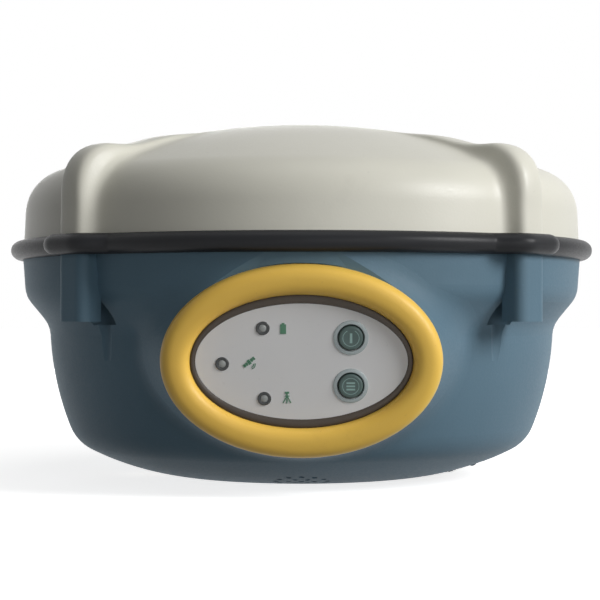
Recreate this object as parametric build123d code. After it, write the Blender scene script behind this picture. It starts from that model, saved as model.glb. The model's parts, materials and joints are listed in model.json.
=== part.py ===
"""Survey GNSS receiver: domed cover, rubber rim band, stepped housing, tilted front panel, battery bay.

Millimetres, +Z up, origin at the centre of the flat foot, front panel facing -Y. Each function builds one
piece or one kind of piece and returns it in place; main() writes them all, one STEP file per node.
"""
from build123d import *
from math import cos, radians, sin, sqrt, tan
import os

# ------------------------------------------------------------------ overall sizes
RIM_RADIUS = 97.5           # outermost point of the rubber band
TOTAL_HEIGHT = 117.4        # flat foot to the top of the dome
SPLIT_Z = 75.3              # middle of the joint between the cover and the housing
WALL = 2.8                  # moulded wall of the cover and the housing

# ------------------------------------------------------------------ clearances between pieces
MOVING_GAP = 0.3            # free space around a piece that moves
RUNNING_GAP = 0.05          # radial gap of a shaft that turns in its hole
LOOSE_HOLE = 0.3            # radial gap of a screw in a through hole

# ------------------------------------------------------------------ outer shape
BODY_RADIUS = RIM_RADIUS - 3.8
WAIST_RADIUS = BODY_RADIUS - 9.1
HEEL_RADIUS = BODY_RADIUS - 17.9
FOOT_RADIUS = 31.0
HEEL_ARC_RADIUS = 88.7      # underside curve, level where it leaves the foot
BAND_HEIGHT = 15.1          # upright band below the joint
STEP_HEIGHT = 9.8           # slope between the band and the waist
COVER_RADIUS = RIM_RADIUS - 4.2
DOME_RADIUS = 220.0
SHOULDER_FILLET = 15.5

# ------------------------------------------------------------------ joint and rim band
WEB = 1.6                   # rubber between the two shells
BEAD_RADIUS = 3.35
HOUSING_TOP = SPLIT_Z - WEB / 2
COVER_BOTTOM = SPLIT_Z + WEB / 2

# ------------------------------------------------------------------ the four ridges and their screws
CORNERS = (45, 135, 225, 315)
RIDGE_WIDTH = 11.6
LUG_RADIUS = RIM_RADIUS + 2.1   # outer face of the ridges
LUG_ROUND = 17.0            # radius over the ridge's outer shoulder
SCREW_CIRCLE = RIM_RADIUS - 10.0
COVER_BOSS = 5.5            # radius of the screw boss inside the cover
RECESS_RADIUS = 6.0         # open recess under each case screw
RECESS_WALL = 1.8
RECESS_Z = (SPLIT_Z - 24.3, SPLIT_Z - 14.8)
COLUMN_HALF = 6.1           # half width of the column in front of each recess
COLUMN_R = (RIM_RADIUS - 6.0, LUG_RADIUS - 0.6)
PAD_PROUD = 2.8             # rubber of the band beyond the ridges and columns
COLUMN_BOTTOM = SPLIT_Z - 23.3
HEAD_SEAT = SPLIT_Z - 9.3
CASE_SCREW = 1.95
CASE_HEAD = 3.5
INSERT_RADIUS = 3.1
INSERT_LENGTH = 9.0

# ------------------------------------------------------------------ front panel, in its own tilted plane
PANEL_TILT = 10.0
PANEL_Z = 40.6
PANEL_Y = -(WAIST_RADIUS + 2.9)
RING_OUT = (41.1, 28.7)     # half width, half height
RING_IN = (32.4, 19.7)
RING_DEPTH = 4.5
PLATE = (31.0, 17.4)
PLATE_FACE = 1.0            # front of the plate above the panel plane
PLATE_BACK = -0.7
OPENING = (29.0, 15.5)
LEDGE = -1.5                # seat of the panel seal
POD_WALL = 3.5
POD_FLARE = 24.0            # degrees the flank spreads towards the housing
POD_DEPTH = 20.0
POD_FILLET = 12.0
KEY_X = 14.3
KEY_Y = 7.1
KEY_RADIUS = 3.55
KEY_FACE = 1.9
KEY_TRAVEL = 0.6
LEDS = ((-11.2, 9.9), (-23.0, -0.6), (-10.8, -10.9))
LED_RADIUS = 1.15
BOARD_FRONT = -7.4          # front of the panel board
BOARD = 1.6                 # thickness of every circuit board
PLATE_POSTS = [(x, y) for x in (-23.0, 23.0) for y in (-5.5, 5.5)]

# ------------------------------------------------------------------ rear battery door
REAR_FACE = WAIST_RADIUS + 3.4
REAR_HALF = 44.0
REAR_Z = (13.0, 55.0)
RECESS_FLOOR = REAR_FACE - 4.0
REAR_INNER = RECESS_FLOOR - WALL
DOOR_X = (-35.6, 38.0)
DOOR_Z = (18.0, 50.0)
DOOR_BACK = REAR_FACE - 2.8
DOOR_FRONT = REAR_FACE + 0.2
DOOR_EDGE_GAP = 0.4
HINGE_X = -38.5
HINGE_Y = REAR_FACE + 0.6
HINGE_PIN = 1.0
KNUCKLE = 2.4
KNUCKLE_Z = (26.0, 42.0)
LUGS_Z = ((20.0, 25.5), (42.5, 48.0))
BAY_X = (-31.0, 23.0)
BAY_Z = (21.5, 46.5)
BAY_Y = 35.5
OPENING_X = (-31.0, 33.5)
BAY_WALL = 1.5
BATTERY_LENGTH = 41.5
LATCH_X = 28.0
LATCH_Z = 34.0
LATCH_SHAFT = 2.5
LATCH_POCKET = (23.0, 41.0)

# ------------------------------------------------------------------ underside
THREAD_BORE = 6.8           # minor radius of a 5/8 inch survey thread
INSERT_BODY = 13.0
INSERT_FLANGE = 22.0
FLOOR_PAD = 6.0
IO_X = (31.0, 60.0)
IO_HALF = 26.0
IO_FLOOR = 9.0
PORTS = ((44.0, -13.0), (44.0, 13.0))
PORT_RADIUS = 5.8
PORT_BORE = 4.6
PORT_LIP = 5.5
CAP_HINGE = (56.0, 6.2)     # x and z of both cap hinges
CAP_PIN = 0.8
CAP_KNUCKLE = 1.8
AERIAL = (-52.0, 0.0)
AERIAL_POCKET = 12.5
AERIAL_FLOOR = 12.0
AERIAL_RADIUS = 5.5
AERIAL_LIP = 3.0
SPEAKER = (0.0, -50.0)

# ------------------------------------------------------------------ boards and aerial stack
POST_CIRCLE = 60.0
POST_TOP = 44.0
MAIN_BOARD_Z = 54.0
MAIN_BOARD_RADIUS = 70.0
PLANE_Z = TOTAL_HEIGHT - 27.4
PLANE_THICKNESS = 1.2
PLANE_RADIUS = 74.0
PATCH_HEIGHT = 6.0
LOWER_PATCH = 45.0
UPPER_PATCH = 30.0
METAL_LAYER = 0.3
STUD = 1.25
FEED_PIN = 0.6

PANEL_PLANE = Plane(
    origin=(0, PANEL_Y, PANEL_Z),
    x_dir=(1, 0, 0),
    z_dir=(0, -cos(radians(PANEL_TILT)), -sin(radians(PANEL_TILT))),
)


# ------------------------------------------------------------------ small helpers
def rod(r, z0, z1, x=0.0, y=0.0):
    """Upright cylinder between two heights."""
    return Pos(x, y, (z0 + z1) / 2) * Cylinder(r, z1 - z0)


def tube(r_out, r_in, z0, z1, x=0.0, y=0.0):
    return rod(r_out, z0, z1, x, y) - rod(r_in, z0 - 1, z1 + 1, x, y)


def block(xs, ys, zs):
    """Box between two corners."""
    size = [hi - lo for lo, hi in (xs, ys, zs)]
    middle = [(hi + lo) / 2 for lo, hi in (xs, ys, zs)]
    return Pos(*middle) * Box(*size)


def rod_y(r, y0, y1, x, z):
    """Cylinder lying along Y."""
    return Pos(x, (y0 + y1) / 2, z) * Rot(90, 0, 0) * Cylinder(r, y1 - y0)


def oval(half, n0, n1):
    """Elliptical slab in the panel's local frame, between two depths."""
    return Pos(0, 0, n0) * extrude(Ellipse(*half), n1 - n0)


def hex_rod(across_flats, z0, z1, x=0.0, y=0.0):
    corner = across_flats / sqrt(3)
    return Pos(x, y, z0) * extrude(RegularPolygon(corner, 6), z1 - z0)


def on_circle(radius, angles=CORNERS):
    return [(radius * cos(radians(a)), radius * sin(radians(a))) for a in angles]


def group(shapes):
    """One node holding several separate solids."""
    return Compound([solid for shape in shapes for solid in shape.solids()])


def on_panel(shape):
    return PANEL_PLANE * shape


def nearest(shape, x, y):
    return shape.vertices().sort_by_distance((x, y, 0))[0]


# ------------------------------------------------------------------ revolved outlines
def housing_outline(inset=0.0, top=HOUSING_TOP):
    """Half section of the housing: foot, underside curve, waist, step and upright band."""
    radius = HEEL_ARC_RADIUS - inset
    heel = HEEL_RADIUS - inset
    waist = WAIST_RADIUS - inset
    band = BODY_RADIUS - inset
    heel_z = HEEL_ARC_RADIUS - sqrt(radius**2 - (heel - FOOT_RADIUS) ** 2)
    mid = (FOOT_RADIUS + heel) / 2
    mid_z = HEEL_ARC_RADIUS - sqrt(radius**2 - (mid - FOOT_RADIUS) ** 2)
    waist_z = HOUSING_TOP - BAND_HEIGHT - STEP_HEIGHT + 0.8 + inset / 3
    band_z = HOUSING_TOP - BAND_HEIGHT + 0.8 + inset / 3
    wall_mid = (waist - 2.3, (heel_z + waist_z) / 2)
    edges = [
        Line((0, inset), (FOOT_RADIUS, inset)),
        ThreePointArc((FOOT_RADIUS, inset), (mid, mid_z), (heel, heel_z)),
        ThreePointArc((heel, heel_z), wall_mid, (waist, waist_z)),
        Line((waist, waist_z), (band - 1.1, band_z)),
        Line((band - 1.1, band_z), (band, top)),
        Line((band, top), (0, top)),
        Line((0, top), (0, inset)),
    ]
    face = make_face(edges)
    face = fillet(nearest(face, heel, heel_z), 14 - inset)
    face = fillet(nearest(face, waist, waist_z), 9 + inset)
    return fillet(nearest(face, band - 1.1, band_z), 9 - inset)


def dome_outline(inset=0.0, bottom=COVER_BOTTOM):
    """Half section of the cover: near-upright side, rounded shoulder, shallow dome."""
    radius = DOME_RADIUS - inset
    centre = TOTAL_HEIGHT - DOME_RADIUS
    side = COVER_RADIUS - inset
    top_r = side - 1.0
    top_z = centre + sqrt(radius**2 - top_r**2)
    mid_z = centre + sqrt(radius**2 - (top_r / 2) ** 2)
    apex = TOTAL_HEIGHT - inset
    edges = [
        Line((0, bottom), (side, bottom)),
        Line((side, bottom), (top_r, top_z)),
        ThreePointArc((top_r, top_z), (top_r / 2, mid_z), (0, apex)),
        Line((0, apex), (0, bottom)),
    ]
    face = make_face(edges)
    return fillet(nearest(face, top_r, top_z), SHOULDER_FILLET - inset)


def spin(face):
    return revolve(Plane.XZ * face, axis=Axis.Z)


HOUSING_SOLID = spin(housing_outline())
HOUSING_SPACE = spin(housing_outline(WALL, HOUSING_TOP + 1))
COVER_DOME = spin(dome_outline())
COVER_SPACE = spin(dome_outline(WALL, COVER_BOTTOM - 1))


# ------------------------------------------------------------------ cover
def ridge():
    """One raised ridge, drawn in the XZ plane with its length along X."""
    crest = [
        (50.0, COVER_BOTTOM),
        (LUG_RADIUS, COVER_BOTTOM),
        (LUG_RADIUS - 0.9, TOTAL_HEIGHT - 10.9),
        (RIM_RADIUS - 19.5, TOTAL_HEIGHT - 10.4),
        (RIM_RADIUS - 27.5, TOTAL_HEIGHT - 8.5),
        (56.0, TOTAL_HEIGHT - 8.9),
        (50.0, TOTAL_HEIGHT - 12.0),
    ]
    face = make_face(Polyline(*crest, close=True))
    face = fillet(nearest(face, *crest[2]), LUG_ROUND)
    rib = extrude(Plane.XZ * face, RIDGE_WIDTH / 2, both=True)
    outer = rib.faces().filter_by(Axis.Y).edges()
    rounded = [e for e in outer if e.center().Z > COVER_BOTTOM + 2 and e.center().X > 57]
    return fillet(rounded, 3.6)


def cover_outer():
    shape = COVER_DOME
    for angle in CORNERS:
        shape += Rot(0, 0, angle) * ridge()
    return shape


def top_cover():
    outer = cover_outer()
    shell = outer - COVER_SPACE
    for x, y in on_circle(SCREW_CIRCLE):
        shell += rod(COVER_BOSS, COVER_BOTTOM, SPLIT_Z + 22.7, x, y) & outer
    for x, y in on_circle(SCREW_CIRCLE):
        shell -= rod(INSERT_RADIUS, COVER_BOTTOM - 1, COVER_BOTTOM + INSERT_LENGTH, x, y)
        shell -= rod(CASE_SCREW + 0.25, COVER_BOTTOM, COVER_BOTTOM + 13, x, y)
    return shell


def case_inserts():
    z1 = COVER_BOTTOM + INSERT_LENGTH
    bore = CASE_SCREW + RUNNING_GAP
    return group(tube(INSERT_RADIUS, bore, COVER_BOTTOM, z1, x, y) for x, y in on_circle(SCREW_CIRCLE))


def case_screw(x, y):
    head = rod(CASE_HEAD, HEAD_SEAT - 3, HEAD_SEAT, x, y)
    socket = hex_rod(3.0, HEAD_SEAT - 4, HEAD_SEAT - 1.2, x, y)
    return head + rod(CASE_SCREW, HEAD_SEAT, COVER_BOTTOM + 12, x, y) - socket


def case_screws():
    return group(case_screw(x, y) for x, y in on_circle(SCREW_CIRCLE))


def corner_pad():
    """Swelling of the rubber band round one ridge, drawn on the X axis."""
    half = RIDGE_WIDTH / 2 + PAD_PROUD
    heights = (SPLIT_Z - BEAD_RADIUS, SPLIT_Z + BEAD_RADIUS)
    pad = block((BODY_RADIUS - 3, LUG_RADIUS + PAD_PROUD), (-half, half), heights)
    pad = fillet(pad.edges().filter_by(Axis.Z).group_by(Axis.X)[-1], 5.0)
    outer = pad.edges().filter_by(lambda e: e.center().X > BODY_RADIUS - 2.9)
    rounded = [e for e in outer if abs(e.center().Z - SPLIT_Z) > 1]
    return fillet(rounded, 2.9)


def rim_seal():
    bead = revolve(Plane.XZ * Pos(RIM_RADIUS - BEAD_RADIUS, SPLIT_Z) * Circle(BEAD_RADIUS), axis=Axis.Z)
    web = tube(RIM_RADIUS - BEAD_RADIUS, BODY_RADIUS - WALL, HOUSING_TOP, COVER_BOTTOM)
    for angle in CORNERS:
        web += Rot(0, 0, angle) * corner_pad()
    for x, y in on_circle(SCREW_CIRCLE):
        web += rod(COVER_BOSS, HOUSING_TOP, COVER_BOTTOM, x, y)
    band = bead + web - cover_outer() - HOUSING_SOLID
    for angle in CORNERS:
        band -= Rot(0, 0, angle) * column()
    for x, y in on_circle(SCREW_CIRCLE):
        band -= rod(CASE_SCREW + LOOSE_HOLE, HOUSING_TOP - 1, COVER_BOTTOM + 1, x, y)
    return band


# ------------------------------------------------------------------ lower housing
def column():
    """Upright pad in front of one screw recess, drawn on the X axis; it carries the ridge's line down."""
    pad = block(COLUMN_R, (-COLUMN_HALF, COLUMN_HALF), (COLUMN_BOTTOM, HOUSING_TOP))
    corners = pad.edges().filter_by(Axis.Z).group_by(Axis.X)[-1]
    return fillet(corners, 3.2)


def flared_oval(half, n0, depth):
    """Elliptical cone in the panel's local frame, growing backwards from one depth."""
    grow = depth * tan(radians(POD_FLARE))
    back = Pos(0, 0, n0 - depth) * Ellipse(half[0] + grow, half[1] + grow)
    front = Pos(0, 0, n0) * Ellipse(*half)
    return loft([back.face(), front.face()])


def front_pod():
    """Solid behind the panel ring, spreading towards the housing."""
    half = (RING_OUT[0] - 0.6, RING_OUT[1] - 0.6)
    below_joint = block((-100, 100), (-200, 0), (0, HOUSING_TOP - 0.5))
    return on_panel(flared_oval(half, 0, POD_DEPTH)) & below_joint


def front_space():
    half = (RING_OUT[0] - 3.8, RING_OUT[1] - 3.8)
    below_joint = block((-100, 100), (-200, 0), (0, HOUSING_TOP))
    return on_panel(flared_oval(half, -POD_WALL, POD_DEPTH)) & below_joint


def edge_key(edge):
    return tuple(round(v, 2) for v in (*edge.center(), edge.length))


def housing_with_pod():
    """Housing and front pod in one, with their seam rounded off."""
    pod = front_pod()
    body = HOUSING_SOLID + pod
    known = {edge_key(e) for shape in (HOUSING_SOLID, pod) for e in shape.edges()}
    seam = []
    for edge in body.edges():
        depth = PANEL_PLANE.to_local_coords(edge.center()).Z
        plain = edge.geom_type in (GeomType.CIRCLE, GeomType.LINE)
        if depth < -0.3 and not plain and edge_key(edge) not in known:
            seam.append(edge)
    return fillet(seam, POD_FILLET)


def rear_pod():
    height = REAR_Z[1] - REAR_Z[0]
    face = RectangleRounded(2 * REAR_HALF, height, 10)
    depth = REAR_FACE - 50
    pod = Pos(0, 50, sum(REAR_Z) / 2) * Rot(-90, 0, 0) * extrude(face, depth)
    edge = pod.faces().sort_by(Axis.Y)[-1].edges()
    return fillet(edge, 2)


def rear_space():
    inset = WALL
    half = REAR_HALF - inset
    return block((-half, half), (45, REAR_INNER), (REAR_Z[0] + inset, REAR_Z[1] - inset))


def bay_solid():
    """Sealed box for the battery, with a side pocket for the latch pawl."""
    w = BAY_WALL
    xs = (BAY_X[0] - w, BAY_X[1] + w)
    main = block(xs, (BAY_Y - w, REAR_INNER + 1), (BAY_Z[0] - w, BAY_Z[1] + w))
    side_y = (REAR_INNER - 5.2 - w, REAR_INNER + 1)
    side = block((BAY_X[1], LATCH_POCKET[1] + w), side_y, (LATCH_Z - 11 - w, LATCH_Z + 11 + w))
    return main + side


def bay_space():
    main = block(BAY_X, (BAY_Y, REAR_FACE), BAY_Z)
    mouth = block(OPENING_X, (REAR_INNER - 5.2, REAR_FACE), (BAY_Z[0] + 1.5, BAY_Z[1] - 1.5))
    pocket = block(LATCH_POCKET, (REAR_INNER - 5.2, REAR_INNER), (LATCH_Z - 11, LATCH_Z + 11))
    return main + mouth + pocket


def door_recess():
    g = DOOR_EDGE_GAP
    width = DOOR_X[1] - DOOR_X[0] + 2 * g
    height = DOOR_Z[1] - DOOR_Z[0] + 2 * g
    face = RectangleRounded(width, height, 4.4)
    place = Pos(sum(DOOR_X) / 2, RECESS_FLOOR, sum(DOOR_Z) / 2) * Rot(-90, 0, 0)
    recess = place * extrude(face, 10)
    zs = (LUGS_Z[0][1], LUGS_Z[1][0])
    groove = rod(KNUCKLE + 0.5, zs[0], zs[1], HINGE_X, HINGE_Y)
    side = block((HINGE_X, DOOR_X[0]), (RECESS_FLOOR, REAR_FACE + 4), zs)
    return recess + groove + side


def hinge_lugs():
    return [rod(KNUCKLE, z0, z1, HINGE_X, HINGE_Y) for z0, z1 in LUGS_Z]


def io_recess():
    face = RectangleRounded(IO_X[1] - IO_X[0], 2 * IO_HALF, 5)
    return Pos(sum(IO_X) / 2, 0, -5) * extrude(face, IO_FLOOR + 5)


def cap_ears(y):
    """Two ears under the recess floor that carry one cap hinge pin."""
    ears = []
    for side in (-1, 1):
        y0, y1 = sorted((y + side * 4.5, y + side * 6.5))
        xs = (CAP_HINGE[0] - CAP_KNUCKLE, CAP_HINGE[0] + CAP_KNUCKLE)
        neck = block(xs, (y0, y1), (CAP_HINGE[1], IO_FLOOR))
        ears.append(neck + rod_y(CAP_KNUCKLE, y0, y1, *CAP_HINGE))
    return ears


def underside_features():
    """Thick foot, floors over the two recesses, board posts and the speaker seat."""
    shapes = [rod(FOOT_RADIUS - 1, 0, FLOOR_PAD)]
    floor = RectangleRounded(IO_X[1] - IO_X[0] + 2 * WALL, 2 * (IO_HALF + WALL), 5 + WALL)
    shapes.append(Pos(sum(IO_X) / 2, 0, 0) * extrude(floor, IO_FLOOR + WALL))
    shapes.append(rod(AERIAL_POCKET + WALL, 0, AERIAL_FLOOR + WALL, *AERIAL))
    shapes.append(tube(15.5, 12.5, 0, 11, *SPEAKER))
    shapes += [rod(4.0, 0, POST_TOP, x, y) for x, y in on_circle(POST_CIRCLE)]
    return shapes


def speaker_holes():
    spots = [SPEAKER]
    for ring_radius, count in ((4.0, 6), (8.0, 12)):
        for k in range(count):
            a = radians(360 * k / count)
            spots.append((SPEAKER[0] + ring_radius * cos(a), SPEAKER[1] + ring_radius * sin(a)))
    return [rod(0.9, -5, 12, x, y) for x, y in spots]


def lower_housing():
    outer = housing_with_pod() + rear_pod()
    body = outer - HOUSING_SPACE - front_space() - rear_space()
    extra = bay_solid()
    for shape in underside_features():
        extra += shape
    for x, y in on_circle(SCREW_CIRCLE):
        extra += rod(RECESS_RADIUS + RECESS_WALL, RECESS_Z[0] - 4, HOUSING_TOP, x, y)
    body += extra & outer
    body = cut_screw_recesses(body)
    for angle in CORNERS:
        body += Rot(0, 0, angle) * column()
    for x, y in on_circle(SCREW_CIRCLE):
        body -= rod(CASE_SCREW + LOOSE_HOLE, HEAD_SEAT - 1, HOUSING_TOP + 1, x, y)
    body -= bay_space()
    body -= door_recess()
    for lug in hinge_lugs():
        body += lug
    body -= rod(HINGE_PIN, LUGS_Z[0][0], LUGS_Z[1][1], HINGE_X, HINGE_Y)
    body = cut_panel_openings(body)
    return cut_underside(body)


def cut_screw_recesses(body):
    for x, y in on_circle(SCREW_CIRCLE):
        body -= rod(RECESS_RADIUS, *RECESS_Z, x, y)
        body -= rod(CASE_HEAD + 0.4, RECESS_Z[0] - 11, HEAD_SEAT, x, y)
    return body


def cut_panel_openings(body):
    pocket = (RING_OUT[0] + MOVING_GAP, RING_OUT[1] + MOVING_GAP)
    body -= on_panel(oval(pocket, 0, 20))
    body -= on_panel(oval(RING_IN, LEDGE, 1))
    body -= on_panel(oval(OPENING, -POD_WALL - 1, 1))
    for x, y in ring_screw_spots():
        body -= on_panel(rod(1.25, -POD_WALL - 1, 1, x, y))
    return body


def cut_underside(body):
    body -= rod(INSERT_BODY, -1, FLOOR_PAD)
    for x, y in on_circle(18):
        body -= rod(1.5, 2, FLOOR_PAD, x, y)
    body -= io_recess()
    for x, y in PORTS:
        for ear in cap_ears(y):
            body += ear
        body -= rod(PORT_RADIUS, 5, IO_FLOOR + WALL + 1, x, y)
        body -= rod_y(CAP_PIN, y - 6.5, y + 6.5, *CAP_HINGE)
    body -= rod(AERIAL_POCKET, -5, AERIAL_FLOOR, *AERIAL)
    body -= rod(AERIAL_RADIUS, AERIAL_FLOOR - 1, AERIAL_FLOOR + WALL + 1, *AERIAL)
    for hole in speaker_holes():
        body -= hole
    for x, y in on_circle(POST_CIRCLE):
        body -= rod(STUD, POST_TOP - 7, POST_TOP, x, y)
    for x in (-10, -4, 4, 10):
        body -= rod_y(0.8, BAY_Y - BAY_WALL - 1, BAY_Y + 1, x, LATCH_Z)
    return body


# ------------------------------------------------------------------ front panel pieces
def ring_screw_spots():
    return [(sx * 24.5, sy * 16.0) for sx in (-1, 1) for sy in (-1, 1)]


def panel_ring():
    ring = oval(RING_OUT, 0, RING_DEPTH) - oval(RING_IN, -1, RING_DEPTH + 1)
    front = ring.faces().sort_by(Axis.Z)[-1]
    ring = fillet(front.edges(), 3.9)
    for x, y in ring_screw_spots():
        ring -= rod(1.25, -1, 2.5, x, y)
    return on_panel(ring)


def ring_screws():
    shape = rod(2.2, -POD_WALL - 1.5, -POD_WALL) + rod(1.25, -POD_WALL, 2.5)
    return group(on_panel(Pos(x, y, 0) * shape) for x, y in ring_screw_spots())


def panel_seal():
    foot = oval(RING_IN, LEDGE, PLATE_BACK) - oval((OPENING[0] + 0.3, OPENING[1] + 0.3), LEDGE - 1, 1)
    lip = oval(RING_IN, PLATE_BACK, PLATE_FACE + 0.5) - oval(PLATE, PLATE_BACK - 1, PLATE_FACE + 1)
    return on_panel(foot + lip)


def panel_plate():
    plate = oval(PLATE, PLATE_BACK, PLATE_FACE)
    for x, y in PLATE_POSTS:
        plate += rod(2.0, BOARD_FRONT, PLATE_BACK, x, y)
    for x, y in PLATE_POSTS:
        plate -= rod(0.95, BOARD_FRONT - 1, -3.0, x, y)
    for y in (-KEY_Y, KEY_Y):
        plate -= rod(KEY_RADIUS + MOVING_GAP, -3, 3, KEY_X, y)
    for x, y in LEDS:
        plate -= rod(LED_RADIUS, -3, 3, x, y)
    return on_panel(plate)


def key_bezels():
    z1 = PLATE_FACE + 0.3
    inner = KEY_RADIUS + MOVING_GAP + 0.05
    return group(on_panel(tube(5.1, inner, PLATE_FACE, z1, KEY_X, y)) for y in (-KEY_Y, KEY_Y))


def key(y):
    """Cap through the plate, retaining flange behind it, stem over the switch."""
    cap = rod(KEY_RADIUS, -1.2, KEY_FACE, KEY_X, y)
    cap = fillet(cap.faces().sort_by(Axis.Z)[-1].edges(), 0.5)
    flange = rod(4.6, -2.2, PLATE_BACK - MOVING_GAP, KEY_X, y)
    stem = rod(1.5, BOARD_FRONT + 4.4, -2.0, KEY_X, y)
    return on_panel(cap + flange + stem)


def key_switches():
    top = BOARD_FRONT + 4.4 - KEY_TRAVEL - 0.05
    shapes = []
    for y in (-KEY_Y, KEY_Y):
        base = block((KEY_X - 3, KEY_X + 3), (y - 3, y + 3), (BOARD_FRONT, top - 0.45))
        shapes.append(on_panel(base + rod(1.7, top - 0.5, top, KEY_X, y)))
    return group(shapes)


def led_bezels():
    z1 = PLATE_FACE + 0.3
    return group(on_panel(tube(2.0, LED_RADIUS, PLATE_FACE, z1, x, y)) for x, y in LEDS)


def led_lens(x, y):
    window = rod(LED_RADIUS, PLATE_BACK, PLATE_FACE + 0.3, x, y)
    return window + rod(1.9, PLATE_BACK - 0.8, PLATE_BACK, x, y) + rod(1.0, -6.3, -1.4, x, y)


def led_lenses():
    return group(on_panel(led_lens(x, y)) for x, y in LEDS)


def led_chips():
    zs = (BOARD_FRONT, BOARD_FRONT + 1.0)
    return group(on_panel(block((x - 1.6, x + 1.6), (y - 0.8, y + 0.8), zs)) for x, y in LEDS)


def panel_board():
    board = oval((27.5, 14.0), BOARD_FRONT - BOARD, BOARD_FRONT)
    for x, y in PLATE_POSTS:
        board -= rod(1.2, BOARD_FRONT - 3, BOARD_FRONT + 1, x, y)
    return on_panel(board)


def panel_screws():
    back = BOARD_FRONT - BOARD
    shape = rod(1.9, back - 1.4, back) + rod(0.95, back, -3.0)
    return group(on_panel(Pos(x, y, 0) * shape) for x, y in PLATE_POSTS)


def panel_ribbon():
    """Flat cable from the panel board up to the edge of the main board."""
    back = BOARD_FRONT - BOARD
    start = PANEL_PLANE.from_local_coords((0, 0, back))
    level = -MAIN_BOARD_RADIUS + 4
    run = (level - start.Y) / cos(radians(PANEL_TILT))
    bend = (0, level, start.Z + run * sin(radians(PANEL_TILT)))
    path = FilletPolyline((0, start.Y, start.Z), bend, (0, level, MAIN_BOARD_Z), radius=4)
    return sweep(Plane(origin=path @ 0, x_dir=(1, 0, 0), z_dir=path % 0) * Rectangle(10, 0.4), path=path)


# ------------------------------------------------------------------ battery door, latch and battery
def door_bored(shape):
    shape -= rod(HINGE_PIN + RUNNING_GAP, KNUCKLE_Z[0] - 1, KNUCKLE_Z[1] + 1, HINGE_X, HINGE_Y)
    return shape - rod_y(LATCH_SHAFT + RUNNING_GAP, DOOR_BACK - 5, DOOR_FRONT + 5, LATCH_X, LATCH_Z)


def battery_door():
    face = RectangleRounded(DOOR_X[1] - DOOR_X[0], DOOR_Z[1] - DOOR_Z[0], 4)
    place = Pos(sum(DOOR_X) / 2, DOOR_BACK, sum(DOOR_Z) / 2) * Rot(-90, 0, 0)
    leaf = place * extrude(face, DOOR_FRONT - DOOR_BACK)
    leaf = fillet(leaf.faces().sort_by(Axis.Y)[-1].edges(), 0.8)
    tongue = block((HINGE_X, DOOR_X[0] + 1), (REAR_FACE - 1.4, REAR_FACE - 0.6), KNUCKLE_Z)
    knuckle = rod(KNUCKLE, *KNUCKLE_Z, HINGE_X, HINGE_Y)
    return door_bored(leaf + tongue + knuckle)


def door_hinge_pin():
    return rod(HINGE_PIN, LUGS_Z[0][0], LUGS_Z[1][1], HINGE_X, HINGE_Y)


def door_seal():
    ys = (DOOR_BACK - 0.9, DOOR_BACK)
    window = block((-32.4, 34.8), (ys[0] - 1, ys[1] + 1), (20.6, 47.4))
    return block((-34.6, 37.0), ys, (18.8, 49.2)) - window


def door_pad():
    return block((-28, 20), (battery_front() + MOVING_GAP, DOOR_BACK), (25, 43))


def battery_front():
    return BAY_Y + 2.5 + BATTERY_LENGTH


def door_latch():
    """Coin-slotted knob outside the door and its shaft."""
    knob = rod_y(6.0, DOOR_FRONT + MOVING_GAP, DOOR_FRONT + 2.2, LATCH_X, LATCH_Z)
    knob = fillet(knob.faces().sort_by(Axis.Y)[-1].edges(), 0.6)
    xs = (LATCH_X - 0.8, LATCH_X + 0.8)
    slot = block(xs, (DOOR_FRONT + 1.1, DOOR_FRONT + 3), (LATCH_Z - 4.6, LATCH_Z + 4.6))
    shaft = rod_y(LATCH_SHAFT, REAR_INNER - 0.2, DOOR_FRONT + 1, LATCH_X, LATCH_Z)
    return knob + shaft - slot - rod_y(1.0, REAR_INNER - 1, REAR_INNER + 3.8, LATCH_X, LATCH_Z)


def latch_pawl():
    """Arm that turns behind the wall of the opening, with its hub on the shaft."""
    front = REAR_INNER - 0.2
    arm = block((LATCH_X - 2.25, LATCH_X + 2.25), (front - 2, front), (LATCH_Z - 2.25, LATCH_Z + 9))
    hub = rod_y(3.6, front, DOOR_BACK - MOVING_GAP, LATCH_X, LATCH_Z)
    hub -= rod_y(LATCH_SHAFT, front, DOOR_BACK, LATCH_X, LATCH_Z)
    return arm + hub - rod_y(1.0, front - 3, front + 0.1, LATCH_X, LATCH_Z)


def latch_screw():
    back = REAR_INNER - 2.2
    head = rod_y(1.9, back - 1.3, back, LATCH_X, LATCH_Z)
    return head + rod_y(1.0, back, REAR_INNER + 3.8, LATCH_X, LATCH_Z)


def battery_pack():
    xs = (BAY_X[0] + 1.5, BAY_X[1] - 1.5)
    pack = block(xs, (BAY_Y + 2.5, battery_front()), (BAY_Z[0], BAY_Z[1] - 1.4))
    return fillet(pack.edges().filter_by(Axis.Y), 2.5)


def battery_contact_block():
    shape = block((-14, 14), (BAY_Y - BAY_WALL - 6, BAY_Y - BAY_WALL), (LATCH_Z - 6, LATCH_Z + 6))
    for x in (-10, -4, 4, 10):
        shape -= rod_y(0.8, BAY_Y - BAY_WALL - 4, BAY_Y, x, LATCH_Z)
    return shape


def battery_contacts():
    return group(rod_y(0.8, BAY_Y - BAY_WALL - 4, BAY_Y + 2.5, x, LATCH_Z) for x in (-10, -4, 4, 10))


# ------------------------------------------------------------------ pole thread and underside sockets
def pole_insert():
    """Metal socket for the survey pole: blind threaded bore, flange screwed down on the foot."""
    shape = rod(INSERT_BODY, 0, 20) + rod(INSERT_FLANGE, FLOOR_PAD, FLOOR_PAD + 3)
    shape -= rod(THREAD_BORE, -1, 16)
    shape -= Pos(0, 0, 0.5) * Cone(THREAD_BORE + 1, THREAD_BORE, 1)
    for x, y in on_circle(18):
        shape -= rod(1.5, FLOOR_PAD - 1, FLOOR_PAD + 4, x, y)
    return shape


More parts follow.
